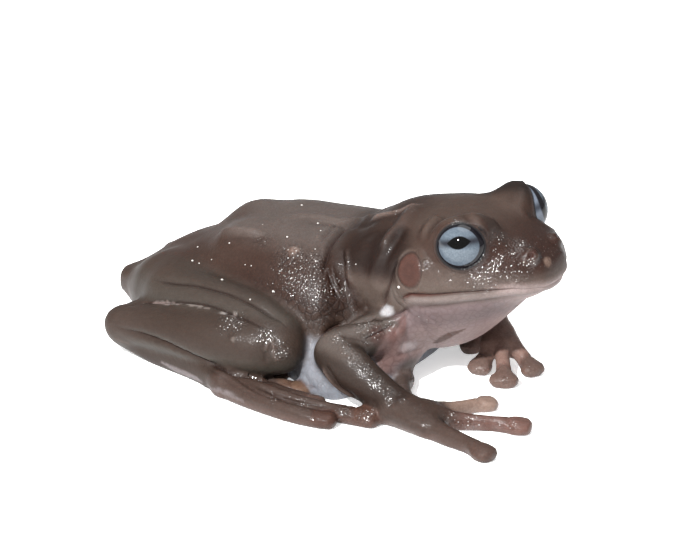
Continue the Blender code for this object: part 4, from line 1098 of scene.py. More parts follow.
def paint_skin(skin, share, shade, looks):
    """Colour, with painted shade and sheen, and the grain, wetness and crinkle of each point of the skin."""
    points, normals = skin.points, skin.normals()
    back, limb_tone, throat, belly = (np.array(c[:3]) for c in (
        looks.back_colour, looks.limb_colour, looks.throat_colour, looks.belly_colour))
    colour = np.tile(back, (len(points), 1))
    height, ahead = points[:, 2], points[:, 0]
    above, forward, left = mouth_offset(points)
    waver = noise_at(points, 3.0)

    def blend(other, amount):
        nonlocal colour
        amount = np.clip(amount, 0, 1)[:, None]
        colour = colour * (1 - amount) + np.asarray(other) * amount

    def both(name):
        return share[name + "_right"] + share[name + "_left"]

    # back, flanks and limbs
    trunk, head = share["trunk"], share["head"]
    limbs = both("arm") + both("thigh") + both("shank") + both("tarsus") + both("foot") + both("hand")
    blend(limb_tone, limbs)
    # painted sheen: the top of the back lighter and greyer, as lit from above
    blend(tone(140, 129, 124), trunk * ramp(height + 0.4 * waver, 17.8, 21.0) * 0.75)
    # painted shade in the hollow of the shoulders behind the head
    shoulder_shade = trunk * ramp(ahead, 36.0, 42.0) * ramp(height, 9.0, 13.0) * fall(height, 23.0, 26.0)
    blend(tone(50, 32, 25), shoulder_shade * 0.9)
    blend(tone(90, 74, 64), trunk * bell(height - 10.5, 3.0) * 0.6)
    rump = (trunk + both("thigh")) * fall(ahead, 9.0, 17.0) * ramp(height, 10.5, 12.5)
    blend(tone(84, 58, 47), rump * 0.75)
    blend(tone(92, 84, 77), both("thigh") * bell(height - 11.0, 3.5) * 0.75)
    blend(tone(100, 94, 86), both("shank") * ramp(-normals[:, 2], -0.2, 0.6) * 0.75)
    blend(tone(92, 77, 70), both("shank") * fall(ahead, 7.0, 16.0) * 0.6)
    blend(tone(96, 76, 68), both("foot") * 0.75 + both("hand") * 0.5)
    blend(tone(58, 47, 41), share["arm_right"] * bell(height - 7.6, 2.2) * 0.5)
    # painted highlight: the upper arm's outer side lighter where it faces the lamps
    arm_highlight = share["arm_right"] * ramp(height, 8.0, 10.0) * ramp(-normals[:, 1], -0.2, 0.5)
    blend(tone(120, 109, 103), arm_highlight * 0.85)
    blend(tone(56, 39, 31), both("arm") * fall(height, 4.0, 7.5) * 0.9)
    blend(tone(72, 54, 46), trunk * fall(ahead, 0.0, 3.0) * ramp(height, 9.0, 12.0) * 0.7)
    blend(tone(118, 112, 110), trunk * fall(ahead, 2.0, 5.0) * fall(height, 7.5, 9.5) * 0.4)
    flank = trunk * bell(height - 14.5, 4.0) * ramp(ahead, 20.0, 27.0)
    blend(tone(70, 44, 34), flank * 0.65)
    # belly, chest and head
    blend(tone(58, 40, 32), head * ramp(normals[:, 2], 0.2, 0.5) * fall(forward, -3.0, 1.0) * 0.6)
    low = trunk * fall(height + 0.5 * waver, 7.6, 9.6) * ramp(ahead, 6.0, 14.0)
    blend(belly, low)
    chest = distance(points, *CHEST_PATCH)
    chest = (trunk + share["arm_right"]) * fall(chest + 0.06 * waver, 0.85, 1.1)
    blend(tone(160, 130, 126), chest)
    cheek = head * fall(above, 1.5, 5.5) * ramp(above, -2.2, -1.2)
    blend(tone(130, 115, 107), cheek * 0.75)
    # painted sheen: the top of the head lighter where it faces up
    crown = head * ramp(normals[:, 2], 0.5, 0.9) * ramp(forward, 0.0, 4.0) * fall(forward, 15.0, 19.0)
    blend(tone(102, 84, 75), crown * 0.8)
    temple = head * ramp(above, 2.0, 5.0) * fall(forward, 2.0, 6.0)
    blend(tone(50, 33, 26), temple * fall(normals[:, 2], 0.7, 0.97))
    blend(tone(78, 58, 50), head * ramp(forward, 12.0, 17.0) * ramp(above, 1.6, 3.4) * 0.75)
    blend(tone(32, 20, 15), head * ramp(left, 4.0, 7.0) * ramp(above, 6.0, 9.0) * 0.9)
    side_of_snout = head * ramp(forward, 11.5, 14.0) * bell(above - 4.4, 2.6)
    blend(tone(70, 42, 33), side_of_snout * 0.75)
    under = head * fall(above + 0.2 * waver, -2.6, -1.2) * ramp(forward, -2.0, 3.5)
    blend(throat, under)
    blend(tone(226, 196, 192), under * fall(above, -8.0, -4.5) * 0.6)
    blend(tone(222, 200, 197), head * ramp(forward, 15.0, 19.5) * fall(above, 0.2, 1.6) * 0.8)
    blend(tone(188, 174, 171), head * ramp(forward, 2.0, 5.0) * bell(above + 1.0, 0.75) * 0.8)
    # line of the mouth, patches and marks
    line = ramp(forward, 2.4, 4.4)
    thick = 0.12 + 0.2 * bell(forward - 5.4, 4.0)
    line = line * (1 - 0.7 * ramp(forward, 17.0, 20.5))
    blend(tone(112, 62, 52), head * line * bell(above - 0.1, thick) * (0.5 + 0.45 * bell(forward - 5.4, 5.0)))
    for place, radii, patch, amount in PATCHES:
        blend(tone(*patch), fall(distance(points, place, radii), 0.55, 1.1) * amount)
    for width, tint, amount, uneven, path in MARKS:
        gap, far = along(points, smooth(path, 4), 3.0)
        gap = gap / (width * (0.3 + 0.7 * np.sin(np.pi * far))) + uneven * noise_at(points, 0.8)
        blend(tone(*tint), fall(gap, 0.65, 1.1) * amount)
    # lids, brows, nostrils and eardrums
    for side in (-1, 1):
        local, far, opening = around_eye(points, side)
        near = far < EYE_RADIUS + 1.2
        brow = brow_reach(local)
        ridge = (local[:, 2] > -3.5) * (opening > 1.12) * ramp(local[:, 1], 0.0, 2.0)
        ridge = ridge * (0.7 if side < 0 else 0.2)
        # painted sheen on the brow ridge, and painted shade in the groove below it
        blend(tone(140, 122, 112), ridge * bell(brow - 1.08, 0.06) * 0.2)
        blend(tone(62, 45, 38), ridge * bell(brow - 0.9, 0.05))
        # painted sheen along the lids' rim
        blend(tone(112, 108, 110), near * bell(opening - 1.12, 0.03) * 0.3)
        blend(tone(24, 22, 26), near * fall(opening, 1.03, 1.09))
        nostril, gap = around_nostril(points, side)
        close = (side * nostril[:, 1] > -0.4) & (np.linalg.norm(nostril, axis=1) < 2.4)
        blend(tone(112, 92, 84), close * bell(gap - 0.78, 0.25) * 0.35)
        blend(tone(92, 54, 46), close * fall(gap, 0.25, 0.6) * 0.6)
        drum, reach = drum_reach(points, side)
        # painted sheen on the rim round each eardrum, and painted shade in its groove
        blend(tone(128, 112, 103), drum * bell(reach - 1.14, 0.09) * 0.5)
        blend(tone(62, 40, 34), drum * bell(reach - 1.0, 0.06) * 0.6)
        blend(tone(102, 68, 59), drum * fall(reach, 0.88, 1.0))
        blend(tone(86, 56, 49), drum * fall(np.abs(reach - 0.35), 0.1, 0.25) * 0.5)
    # hands and feet
    blend(tone(124, 94, 84), (both("hand") + both("foot")) * fall(height, 0.9, 2.0) * 0.6)
    # paler own colour of the left hand and the front of its arm, lightened further as painted light where
    # they lie in shade under the head
    blend(tone(198, 162, 150), share["hand_left"] * 0.85 + share["arm_left"] * ramp(ahead, 52.0, 62.0) * 0.5)
    for part, centre, radius, patch in PADS:
        flat = points - centre
        gap = np.linalg.norm(flat * (1, 1, 0.7), axis=1)
        own = ramp(share[part], 0.3, 0.8)
        blend(tone(*patch), own * fall(gap, radius * 0.75, radius * 1.25) * 0.9)
        # painted shade in the groove round each pad
        blend(tone(100, 62, 52), own * bell(gap - radius * 1.02, 0.2) * (flat[:, 2] > 0) * 0.35)
    for index, tint, amount in FINGER_TINTS:
        path = smooth([point for point, *_ in FINGERS[index]], 4)
        gap, far = along(points, path, 4.0)
        blend(tone(*tint), share["hand_right"] * amount * ramp(far, 0.1, 0.45) * fall(gap, 2.4, 3.4))
    # painted shade in the folds' grooves, and painted sheen along their raised ridges
    colour *= 1 - np.clip(shade, 0, 1)[:, None] * (0.62, 0.8, 0.82)
    blend(tone(152, 132, 124), np.clip(-shade, 0, 1))

    # lightness, grain, wetness and crinkle
    colour *= looks.lightness
    grain = trunk + 0.7 * head + 0.75 * limbs
    grain *= 1 - 0.65 * np.clip(low + under + chest, 0, 1)
    wet = 0.08 + 0.27 * side_of_snout + 0.22 * flank + 0.18 * both("hand") + 0.2 * both("foot")
    for *place, radius, amount in WET_SPOTS:
        wet = np.maximum(wet, amount * bell(distance(points, place), radius * 1.15))
    wet = np.clip(wet, 0, 1)
    crinkle = trunk * bell(height - 12.0, 3.2) * ramp(ahead, 25.0, 31.0) * fall(ahead, 43.0, 46.0)
    crinkle += under * 0.32 + np.clip(low, 0, 1) * 0.25 + np.clip(chest, 0, 1) * 0.3
    return colour, np.clip(grain, 0, 1), wet, np.clip(crinkle, 0, 1)


def mesh_object(name, points, faces, material):
    """A smooth-shaded mesh object at the origin, from points in metres."""
    mesh = bpy.data.meshes.new(name)
    mesh.from_pydata(points.tolist(), [], faces)
    mesh.materials.append(material)
    mesh.polygons.foreach_set("use_smooth", [True] * len(mesh.polygons))
    made = bpy.data.objects.new(name, mesh)
    bpy.context.scene.collection.objects.link(made)
    return made


def point_values(mesh, name, kind, values):
    """Stores a number, a vector or a colour for each point of a mesh."""
    field = {"FLOAT": "value", "FLOAT_VECTOR": "vector", "FLOAT_COLOR": "color"}[kind]
    mesh.attributes.new(name, kind, "POINT").data.foreach_set(field, np.ravel(values).astype(np.float32))


class Nodes:
    """Builds the nodes of one tree."""

    def __init__(self, tree):
        self.tree = tree

    def add(self, kind, inputs=None, **settings):
        """Adds a node, sets its options and sets or links its inputs."""
        node = self.tree.nodes.new(kind)
        for key, value in settings.items():
            setattr(node, key, value)
        for key, value in (inputs or {}).items():
            self.feed(node.inputs[key], value)
        return node

    def feed(self, socket, value):
        """Sets a socket, or links it to another socket."""
        if isinstance(value, bpy.types.NodeSocket):
            self.tree.links.new(value, socket)
        else:
            socket.default_value = value

    def maths(self, operation, first, second=0.0, third=0.0):
        """A Math node's result."""
        return self.add("ShaderNodeMath", {0: first, 1: second, 2: third}, operation=operation).outputs[0]

    def times(self, first, second):
        """The product of two values."""
        return self.maths("MULTIPLY", first, second)


class Finish(Nodes):
    """Builds the nodes of one material round its shader."""

    def __init__(self, name):
        self.material = bpy.data.materials.new(name)
        self.material.use_nodes = True
        super().__init__(self.material.node_tree)
        self.shader = self.tree.nodes["Principled BSDF"]

    def place(self):
        """The point's place on its object."""
        return self.add("ShaderNodeTexCoord").outputs["Object"]

    def mixed(self, amount, first, second, blend_type="MIX"):
        """Two colours mixed by an amount."""
        node = self.add("ShaderNodeMix", data_type="RGBA", blend_type=blend_type)
        for key, value in ((0, amount), (6, first), (7, second)):
            self.feed(node.inputs[key], value)
        return node.outputs[2]

    def ranged(self, value, low, high, new_low, new_high, kind="LINEAR"):
        """A value carried from one range to another."""
        return self.add("ShaderNodeMapRange", {0: value, 1: low, 2: high, 3: new_low, 4: new_high},
                        interpolation_type=kind).outputs[0]

    def attribute(self, name):
        """An attribute of the mesh."""
        return self.add("ShaderNodeAttribute", attribute_name=name)

    def noise(self, place, size, detail=2.0):
        """Soft noise whose features have the given size."""
        inputs = {"Vector": place, "Scale": 1 / size, "Detail": detail}
        return self.add("ShaderNodeTexNoise", inputs).outputs["Fac"]

    def cells(self, place, scale, smoothness=None, **settings):
        """Distances in a pattern of irregular cells."""
        inputs = {"Vector": place, "Scale": scale}
        if smoothness is not None:
            inputs["Smoothness"] = smoothness
        return self.add("ShaderNodeTexVoronoi", inputs, **settings).outputs["Distance"]

    def finished(self, inputs):
        """Sets or links the shader's sockets, and returns the material."""
        for key, value in inputs.items():
            self.feed(self.shader.inputs[key], value)
        return self.material


def skin_material(looks):
    """Moist grained skin with painted glints, its colour, grain, wetness and crinkle painted on the mesh."""
    made = Finish("moist skin")
    place = made.place()
    painted = made.attribute("skin_tone").outputs["Color"]
    grain, wet, crinkle = (made.attribute(name).outputs["Fac"] for name in ("grain", "wetness", "crinkle"))
    grains = made.cells(place, 1 / looks.grain_size, 0.12, feature="SMOOTH_F1")
    creases = made.cells(place, 1 / looks.crinkle_size, feature="DISTANCE_TO_EDGE")
    broad = made.noise(place, BROAD_MOTTLE, 4.0)
    fine = made.noise(place, FINE_MOTTLE, 3.0)
    # mottling, darker lines between the grains, and painted shade in the fine creases
    crease = made.times(made.ranged(creases, 0.02, 0.16, 1.0, 0.0), crinkle)
    colour = made.mixed(made.ranged(broad, 0.3, 0.7, 0.0, 0.25), painted, (0.75, 0.68, 0.62, 1.0), "MULTIPLY")
    colour = made.mixed(made.ranged(fine, 0.35, 0.75, 0.0, 0.3), colour, (0.62, 0.55, 0.5, 1.0), "MULTIPLY")
    pores = made.cells(place, 1.7 / looks.grain_size)
    rims = made.times(made.ranged(grains, 0.3, 0.7, 0.0, 0.85), made.ranged(wet, 0.1, 0.5, 0.3, 1.0))
    net = made.times(made.maths("MAXIMUM", made.ranged(pores, 0.3, 0.8, 0.0, 0.45), rims), grain)
    colour = made.mixed(net, colour, (0.45, 0.38, 0.35, 1.0), "MULTIPLY")
    colour = made.mixed(made.times(crease, 0.7), colour, (0.35, 0.28, 0.25, 1.0), "MULTIPLY")
    # painted glints: small light specks painted into the colour of the wet areas
    ripples = made.noise(place, RIPPLES, 1.0)
    painted_glints = made.cells(place, 1 / looks.painted_glint_spacing)
    painted_glints = made.times(made.ranged(painted_glints, 0.17, 0.27, 1.0, 0.0), made.ranged(ripples, 0.42, 0.54, 0.0, 1.0))
    painted_glints = made.times(painted_glints, made.ranged(wet, 0.28, 0.75, 0.0, 0.85))
    colour = made.mixed(painted_glints, colour, (0.3, 0.29, 0.28, 1.0))
    # relief of the grains, the ripples and the creases
    domes = made.times(made.times(grains, grains), grain)
    domes = made.times(domes, made.ranged(wet, 0.1, 1.0, -0.25, -0.62))
    bumps = made.maths("MULTIPLY_ADD", fine, 0.06, domes)
    bumps = made.maths("MULTIPLY_ADD", made.times(ripples, wet), 0.12, bumps)
    bumps = made.maths("MULTIPLY_ADD", crease, -0.4, bumps)
    bump, film = (made.add("ShaderNodeBump", {"Strength": strength, "Distance": looks.grain_height,
                                              "Height": bumps}).outputs["Normal"] for strength in (0.25, 0.8))
    return made.finished({
        "Base Color": colour, "Roughness": made.ranged(wet, 0.0, 1.0, 0.6, 0.42), "Normal": bump,
        "Coat Normal": film, "Coat Weight": made.ranged(wet, 0.2, 0.9, 0.03, 0.6), "Coat Roughness": 0.1,
        "Specular IOR Level": 0.12, "Subsurface Weight": 0.1, "Subsurface Radius": (1.0, 0.45, 0.3),
        "Subsurface Scale": 0.001})


def eye_material(looks):
    """A clear ball over an ice-blue iris with a wide level pupil."""
    made = Finish("ice blue eye")
    place = made.add("ShaderNodeSeparateXYZ", {0: made.attribute("eye_place").outputs["Vector"]})
    across = made.maths("ARCTAN2", place.outputs[0], place.outputs[2])
    rise = made.maths("ARCSINE", made.maths("DIVIDE", place.outputs[1], EYE_RADIUS))

    def reach(middle, width, height):
        """How far across and up a point lies from a middle, in half widths and half heights."""
        return (made.maths("DIVIDE", made.maths("SUBTRACT", across, math.radians(middle[0])), width),
                made.maths("DIVIDE", made.maths("SUBTRACT", rise, math.radians(middle[1])), height))

    # a pupil pointed at both ends, and the dark streak that runs on from it
    halves = (size / MM / 2 / EYE_RADIUS for size in (looks.pupil_width, looks.pupil_height))
    x, y = reach(PUPIL_MIDDLE, *halves)
    y = made.maths("ABSOLUTE", made.maths("SUBTRACT", y, made.times(x, 0.15)))
    lens = made.maths("MULTIPLY_ADD", x, x, y)
    pupil = made.ranged(lens, 0.92, 1.08, 1.0, 0.0)
    streak = made.times(made.ranged(y, 0.0, 1.1, 1.0, 0.0, "SMOOTHSTEP"),
                        made.ranged(made.maths("ABSOLUTE", x), 0.8, 2.3, 1.0, 0.8))
    # the iris and the dark ring round it
    x, y = reach(IRIS_MIDDLE, *(math.radians(angle) for angle in IRIS_REACH))
    far = made.maths("SQRT", made.maths("ADD", made.times(x, x), made.times(y, y)))
    ring = made.times(made.ranged(far, 0.94, 1.0, 0.0, 1.0, "SMOOTHSTEP"),
                      made.ranged(far, 1.26, 1.36, 1.0, 0.0, "SMOOTHSTEP"))
    mottle = made.noise(made.place(), IRIS_MOTTLE, 3.0)
    iris = made.mixed(made.ranged(mottle, 0.3, 0.7, 0.0, 1.0), (*tone(58, 65, 72), 1), (*tone(73, 81, 88), 1))
    for amount, shade in ((made.ranged(far, 0.6, 0.95, 0.0, 0.4), (58, 65, 74)),
                          (made.ranged(far, 1.2, 1.3, 0.0, 1.0), (80, 86, 96)),
                          (streak, (24, 24, 28)), (pupil, (4, 4, 4)), (ring, (14, 13, 16))):
        iris = made.mixed(amount, iris, (*tone(*shade), 1))
    return made.finished({"Base Color": iris, "Roughness": 0.5, "Specular IOR Level": 0.0,
                          "Coat Weight": 0.45, "Coat Roughness": 0.02})


def mottled(made, size, colour, darker):
    """A colour that changes softly to a slightly darker one."""
    mottle = made.ranged(made.noise(made.place(), size), 0.3, 0.7, 0.0, 1.0)
    return made.mixed(mottle, (*colour, 1.0), (*(darker * np.array(colour)), 1.0))


def spot_material(colour):
    """Small pale wet grains."""
    made = Finish("white grain")
    return made.finished({"Base Color": mottled(made, GRAIN_MOTTLE, colour, 0.7), "Roughness": 0.35})


def floor_material(colour):
    """Smooth pale studio floor with a very faint unevenness and a weak glow."""
    made = Finish("studio floor")
    tint = mottled(made, FLOOR_MOTTLE, colour, 0.985)
    return made.finished({"Base Color": tint, "Roughness": 0.8, "Specular IOR Level": 0.2,
                          "Emission Color": tint, "Emission Strength": FLOOR_GLOW})


def grain_tree():
    """A node tree that sets a small flattened grain on each point, with its sizes as named inputs."""
    tree = bpy.data.node_groups.new("Grains on skin", "GeometryNodeTree")
    for name, way, kind, value in (
            ("Geometry", "INPUT", "Geometry", None), ("Width", "INPUT", "Float", 0.0004),
            ("Height", "INPUT", "Float", 0.0002), ("Variation", "INPUT", "Float", 0.25),
            ("Seed", "INPUT", "Int", 7), ("Material", "INPUT", "Material", None),
            ("Geometry", "OUTPUT", "Geometry", None)):
        socket = tree.interface.new_socket(name, in_out=way, socket_type="NodeSocket" + kind)
        if value is not None:
            socket.default_value = value
    made = Nodes(tree)
    given = made.add("NodeGroupInput").outputs
    named = "GeometryNodeInputNamedAttribute"
    facing = made.add(named, {"Name": "facing"}, data_type="FLOAT_VECTOR").outputs["Attribute"]
    share = made.add(named, {"Name": "share"}, data_type="FLOAT").outputs["Attribute"]
    change = made.add("FunctionNodeRandomValue", {
        2: made.maths("SUBTRACT", 1.0, given["Variation"]), 3: made.maths("ADD", 1.0, given["Variation"]),
        "Seed": given["Seed"]}, data_type="FLOAT").outputs[1]
    size = made.add("ShaderNodeCombineXYZ", {0: given["Width"], 1: given["Width"], 2: given["Height"]})
    scale = made.add("ShaderNodeVectorMath", {0: size.outputs[0]}, operation="SCALE")
    made.feed(scale.inputs["Scale"], made.times(change, share))
    turn = made.add("FunctionNodeAlignRotationToVector", {"Vector": facing}, axis="Z")
    grain = made.add("GeometryNodeMeshIcoSphere", {"Radius": 0.5, "Subdivisions": 2})
    placed = made.add("GeometryNodeInstanceOnPoints", {
        "Points": given["Geometry"], "Instance": grain.outputs["Mesh"], "Rotation": turn.outputs["Rotation"],
        "Scale": scale.outputs[0]})
    real = made.add("GeometryNodeRealizeInstances", {"Geometry": placed.outputs["Instances"]})
    painted = made.add("GeometryNodeSetMaterial", {"Geometry": real.outputs["Geometry"],
                                                   "Material": given["Material"]})
    made.add("NodeGroupOutput", {"Geometry": painted.outputs["Geometry"]})
    return tree


# what all settings of one kind share
LENGTH = {"subtype": "DISTANCE", "unit": "LENGTH"}
POWER = {"subtype": "POWER", "unit": "POWER"}
COLOUR = {"subtype": "COLOR", "size": 3, "min": 0.0, "max": 1.0}


class TREEFROG_PG_skin(bpy.types.PropertyGroup):
    """Colours and grain of the skin."""
    back_colour: FloatVectorProperty(name="Back", description="Colour of the back and flanks",
                                     default=tuple(tone(84, 63, 54)), **COLOUR)
    limb_colour: FloatVectorProperty(name="Limbs", description="Colour of the arms and legs",
                                     default=tuple(tone(78, 63, 55)), **COLOUR)
    throat_colour: FloatVectorProperty(name="Throat", description="Colour of the throat",
                                       default=tuple(tone(158, 139, 140)), **COLOUR)
    belly_colour: FloatVectorProperty(name="Belly", description="Colour of the belly",
                                      default=tuple(tone(190, 196, 208)), **COLOUR)
    lightness: FloatProperty(name="Lightness", description="How light all of the skin's colours are",
                             subtype="FACTOR", default=0.28, min=0.05, max=1.0)
    grain_size: FloatProperty(name="Grain size", description="Width of the skin's small grains",
                              default=0.00038, min=0.0001, precision=5, **LENGTH)
    # spacing of the painted glints, light specks painted into the colour of the wet areas
    painted_glint_spacing: FloatProperty(name="Painted glint spacing", description="Distance between the painted glints",
                                default=0.0005, min=0.0001, precision=5, **LENGTH)
    crinkle_size: FloatProperty(name="Crinkle size", description="Width of the cells between fine creases",
                                default=0.0011, min=0.0002, precision=5, **LENGTH)
    grain_height: FloatProperty(name="Grain height", description="Height of the skin's small grains",
                                default=0.00032, min=0.0, precision=5, **LENGTH)


class TREEFROG_PG_eyes(bpy.types.PropertyGroup):
    """Size of the pupils and fineness of the eyeballs."""
    pupil_width: FloatProperty(name="Pupil width", description="Width of the pupil", default=0.0038,
                               min=0.0005, precision=4, **LENGTH)
    pupil_height: FloatProperty(name="Pupil height", description="Height of the pupil", default=0.002,
                                min=0.0002, precision=4, **LENGTH)
    rings: IntProperty(name="Rings", description="Rings of faces from the front of an eye to its back",
                       default=56, min=12, max=120)


class TREEFROG_PG_grains(bpy.types.PropertyGroup):
    """Small white grains on the back."""
    width: FloatProperty(name="Width", description="Width of a white grain", default=0.00034, min=0.0001,
                         precision=5, **LENGTH)
    height: FloatProperty(name="Height", description="Height of a white grain", default=0.00026,
                          min=0.00005, precision=5, **LENGTH)
    colour: FloatVectorProperty(name="Colour", description="Colour of the white grains",
                                default=(0.36, 0.34, 0.32), **COLOUR)
    seed: IntProperty(name="Seed", description="Which of the random sizes are used", default=7, min=0)


class TREEFROG_PG_studio(bpy.types.PropertyGroup):
    """Floor and light."""
    floor_colour: FloatVectorProperty(name="Floor", description="Colour of the floor",
                                      default=(0.92, 0.92, 0.92), **COLOUR)
    sky_strength: FloatProperty(name="Room light", description="Strength of the light from all round",
                                default=0.5, min=0.0)
    overhead_power: FloatProperty(name="Overhead light", description="Power of the soft light above",
                                  default=3.5, min=0.0, **POWER)
    flash_power: FloatProperty(name="Flash", description="Power of the small light above the camera",
                               default=10.5, min=0.0, **POWER)
    fill_power: FloatProperty(name="Fill", description="Power of the wide soft light beside the camera",
                              default=3.4, min=0.0, **POWER)


class TREEFROG_OT_skin(bpy.types.Operator):
    """Build the frog's skin as one closed mesh, with its folds, features and colours."""
    bl_idname = "treefrog.build_skin"
    bl_label = "Build Skin"

    def execute(self, context):
        looks = context.scene.treefrog_skin
        skin, share, shade = build_skin()
        colour, grain, wet, crinkle = paint_skin(skin, share, shade, looks)
        made = mesh_object("skin", in_metres(skin.points), skin.faces.tolist(), skin_material(looks))
        point_values(made.data, "skin_tone", "FLOAT_COLOR", np.hstack([colour, np.ones((len(colour), 1))]))
        for name, values in (("grain", grain), ("wetness", wet), ("crinkle", crinkle)):
            point_values(made.data, name, "FLOAT", values)
        flesh = [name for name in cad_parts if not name.startswith("eye_")]
        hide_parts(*flesh)
        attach(made, "root")
        return {"FINISHED"}


class TREEFROG_OT_eyes(bpy.types.Operator):
    """Build both eyeballs, with the iris and pupil placed on each."""
    bl_idname = "treefrog.build_eyes"
    bl_label = "Build Eyes"

    def execute(self, context):
        looks = context.scene.treefrog_eyes
        material = eye_material(looks)
        sides, rings = looks.rings * 2, looks.rings
        turn, lean = 2 * np.pi * np.arange(sides) / sides, np.pi * np.arange(1, rings) / rings
        flat = np.stack([np.outer(np.sin(lean), np.cos(turn)), np.outer(np.sin(lean), np.sin(turn)),
                         np.repeat(np.cos(lean)[:, None], sides, 1)], -1).reshape(-1, 3)
        local = np.vstack([flat, (0, 0, 1), (0, 0, -1)]) * EYE_RADIUS
        index = np.arange((rings - 1) * sides).reshape(rings - 1, sides)
        turned = np.roll(index, -1, axis=1)
        front, back = (rings - 1) * sides, (rings - 1) * sides + 1
        faces = np.stack([index[:-1], index[1:], turned[1:], turned[:-1]], -1).reshape(-1, 4).tolist()
        faces += [(int(a), int(b), front) for a, b in zip(index[0], turned[0])]
        faces += [(int(b), int(a), back) for a, b in zip(index[-1], turned[-1])]
        for side, name in ((-1, "eye_right"), (1, "eye_left")):
            centre, frame_axes = eye_frame(side)
            made = mesh_object(name + "_ball", in_metres(centre + local @ frame_axes), faces, material)
            angle = math.radians(IRIS_TURNS[side])
            ahead, rise, out = (local * (-side, 1, 1)).T
            seen = np.stack([ahead * math.cos(angle) - out * math.sin(angle), rise,
                             out * math.cos(angle) + ahead * math.sin(angle)], 1)
            point_values(made.data, "eye_place", "FLOAT_VECTOR", seen)
            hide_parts(name)
            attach(made, "root")
        return {"FINISHED"}


class TREEFROG_OT_grains(bpy.types.Operator):
    """Set the small white grains on the skin of the back and flanks."""
    bl_idname = "treefrog.build_grains"
    bl_label = "Build White Grains"

    def execute(self, context):
        looks = context.scene.treefrog_grains
        skin = bpy.data.objects.get("skin")
        if skin is None:
            raise RuntimeError("the skin has to be built before its grains")
        tree = BVHTree.FromPolygons([point.co[:] for point in skin.data.vertices],
                                    [face.vertices[:] for face in skin.data.polygons])
        places, facing, share = [], [], []
        for *point, size in WHITE_GRAINS:
            spot, normal, _, _ = tree.find_nearest(Vector(in_metres(point)))
            places.append(spot[:])
            facing.append(normal[:])
            share.append(size)
        mesh = bpy.data.meshes.new("grain_places")
        mesh.from_pydata(places, [], [])
        point_values(mesh, "facing", "FLOAT_VECTOR", facing)
        point_values(mesh, "share", "FLOAT", share)
        points = bpy.data.objects.new("grain_places", mesh)
        context.scene.collection.objects.link(points)
        tree = grain_tree()
        modifier = points.modifiers.new("Grains", "NODES")
        modifier.node_group = tree
        values = {"Width": looks.width, "Height": looks.height, "Seed": looks.seed,
                  "Material": spot_material(looks.colour)}
        for item in tree.interface.items_tree:
            if item.item_type == "SOCKET" and item.in_out == "INPUT" and item.name in values:
                modifier[item.identifier] = values[item.name]
        graph = context.evaluated_depsgraph_get()
        plain = bpy.data.meshes.new_from_object(points.evaluated_get(graph))
        plain.polygons.foreach_set("use_smooth", [True] * len(plain.polygons))
        made = bpy.data.objects.new("white_grains", plain)
        context.scene.collection.objects.link(made)
        bpy.data.objects.remove(points)
        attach(made, "root")
        return {"FINISHED"}


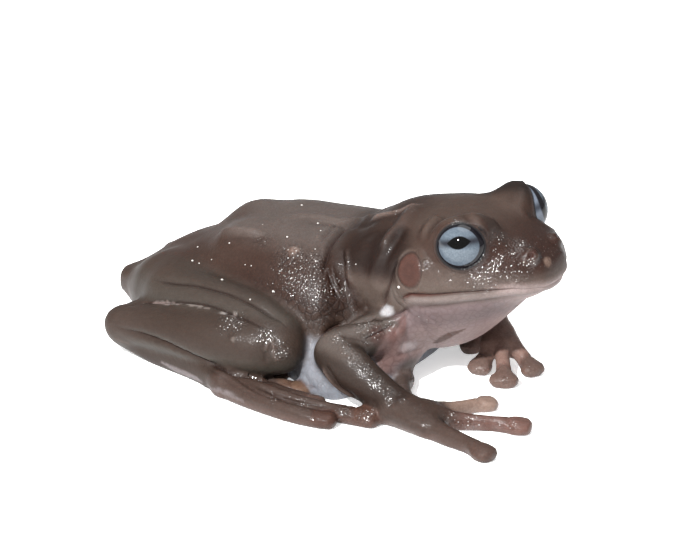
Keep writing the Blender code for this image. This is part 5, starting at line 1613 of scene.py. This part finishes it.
class TREEFROG_OT_studio(bpy.types.Operator):
    """Set up the floor, the lights and the camera."""
    bl_idname = "treefrog.build_studio"
    bl_label = "Build Studio"

    def execute(self, context):
        looks = context.scene.treefrog_studio
        scene = context.scene
        ground = GROUND_REACH * np.array([(-1, -1, 0), (1, -1, 0), (1, 1, 0), (-1, 1, 0)])
        floor = mesh_object("floor", ground, [(0, 1, 2, 3)], floor_material(looks.floor_colour))
        floor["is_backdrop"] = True

        turn, tilt = math.radians(VIEW_TURN), math.radians(VIEW_TILT)
        view = np.array([-math.sin(turn) * math.cos(tilt), math.cos(turn) * math.cos(tilt), -math.sin(tilt)])
        right = np.array([math.cos(turn), math.sin(turn), 0.0])
        up = np.cross(right, view)
        spot = (np.array([0.0, 0.0, VENT_LEVEL]) - view * VIEW_DISTANCE
                - right * (VENT_IN_VIEW[0] - PICTURE[0] / 2) / VIEW_SCALE
                - up * (PICTURE[1] / 2 - VENT_IN_VIEW[1]) / VIEW_SCALE)
        data = bpy.data.cameras.new("camera")
        data.sensor_fit = "HORIZONTAL"
        data.lens = data.sensor_width * VIEW_DISTANCE * VIEW_SCALE / PICTURE[0]
        data.clip_start = 0.01
        camera = bpy.data.objects.new("camera", data)
        scene.collection.objects.link(camera)
        camera.matrix_world = Matrix([[*row, 0.0] for row in np.array([right, up, -view]).T] + [[0, 0, 0, 1]])
        camera.location = Vector(in_metres(spot))
        scene.camera = camera

        middle = Vector(in_metres(FROG_MIDDLE))
        for name, place, size in LIGHTS:
            lamp = bpy.data.lights.new(name, "AREA")
            lamp.shape = "DISK"
            lamp.size = size
            lamp.energy = getattr(looks, name + "_power")
            light = bpy.data.objects.new(name, lamp)
            scene.collection.objects.link(light)
            light.location = middle + Vector(place)
            light.rotation_euler = (middle - light.location).to_track_quat("-Z", "Y").to_euler()
            light.visible_glossy = name != "fill"

        world = bpy.data.worlds.new("white room")
        scene.world = world
        world.use_nodes = True
        sky = world.node_tree.nodes["Background"].inputs
        sky["Color"].default_value = (1.0, 1.0, 1.0, 1.0)
        sky["Strength"].default_value = looks.sky_strength
        scene.view_settings.view_transform = "Standard"
        return {"FINISHED"}


class TREEFROG_PT_panel(bpy.types.Panel):
    """Builds the pieces of the frog one by one."""
    bl_idname = "TREEFROG_PT_panel"
    bl_label = "Tree Frog"
    bl_space_type = "VIEW_3D"
    bl_region_type = "UI"
    bl_category = "Tree Frog"

    def draw(self, context):
        for operator, settings in STEPS:
            box = self.layout.box()
            group = getattr(context.scene, settings)
            for name in group.bl_rna.properties.keys():
                if name not in ("rna_type", "name"):
                    box.prop(group, name)
            box.operator(operator.bl_idname)


GROUPS = (("treefrog_skin", TREEFROG_PG_skin), ("treefrog_eyes", TREEFROG_PG_eyes),
          ("treefrog_grains", TREEFROG_PG_grains), ("treefrog_studio", TREEFROG_PG_studio))
STEPS = ((TREEFROG_OT_skin, "treefrog_skin"), (TREEFROG_OT_eyes, "treefrog_eyes"),
         (TREEFROG_OT_grains, "treefrog_grains"), (TREEFROG_OT_studio, "treefrog_studio"))


def register():
    """Adds the classes and the settings."""
    for name, group in GROUPS:
        bpy.utils.register_class(group)
        setattr(bpy.types.Scene, name, PointerProperty(type=group))
    for operator, _ in STEPS:
        bpy.utils.register_class(operator)
    bpy.utils.register_class(TREEFROG_PT_panel)


def unregister():
    """Removes the settings and the classes."""
    bpy.utils.unregister_class(TREEFROG_PT_panel)
    for operator, _ in reversed(STEPS):
        bpy.utils.unregister_class(operator)
    for name, group in reversed(GROUPS):
        delattr(bpy.types.Scene, name)
        bpy.utils.unregister_class(group)


def corners(box):
    """The two corners of a box as plain lists of numbers."""
    return [[float(v) for v in corner] for corner in box]


def main():
    """Builds every piece."""
    register()
    bpy.ops.treefrog.build_skin()
    bpy.ops.treefrog.build_eyes()
    bpy.ops.treefrog.build_grains()
    bpy.ops.treefrog.build_studio()
    {"solids": corners(SOLIDS_BOX), "finished": corners(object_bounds())}


if __name__ == "__main__":
    main()
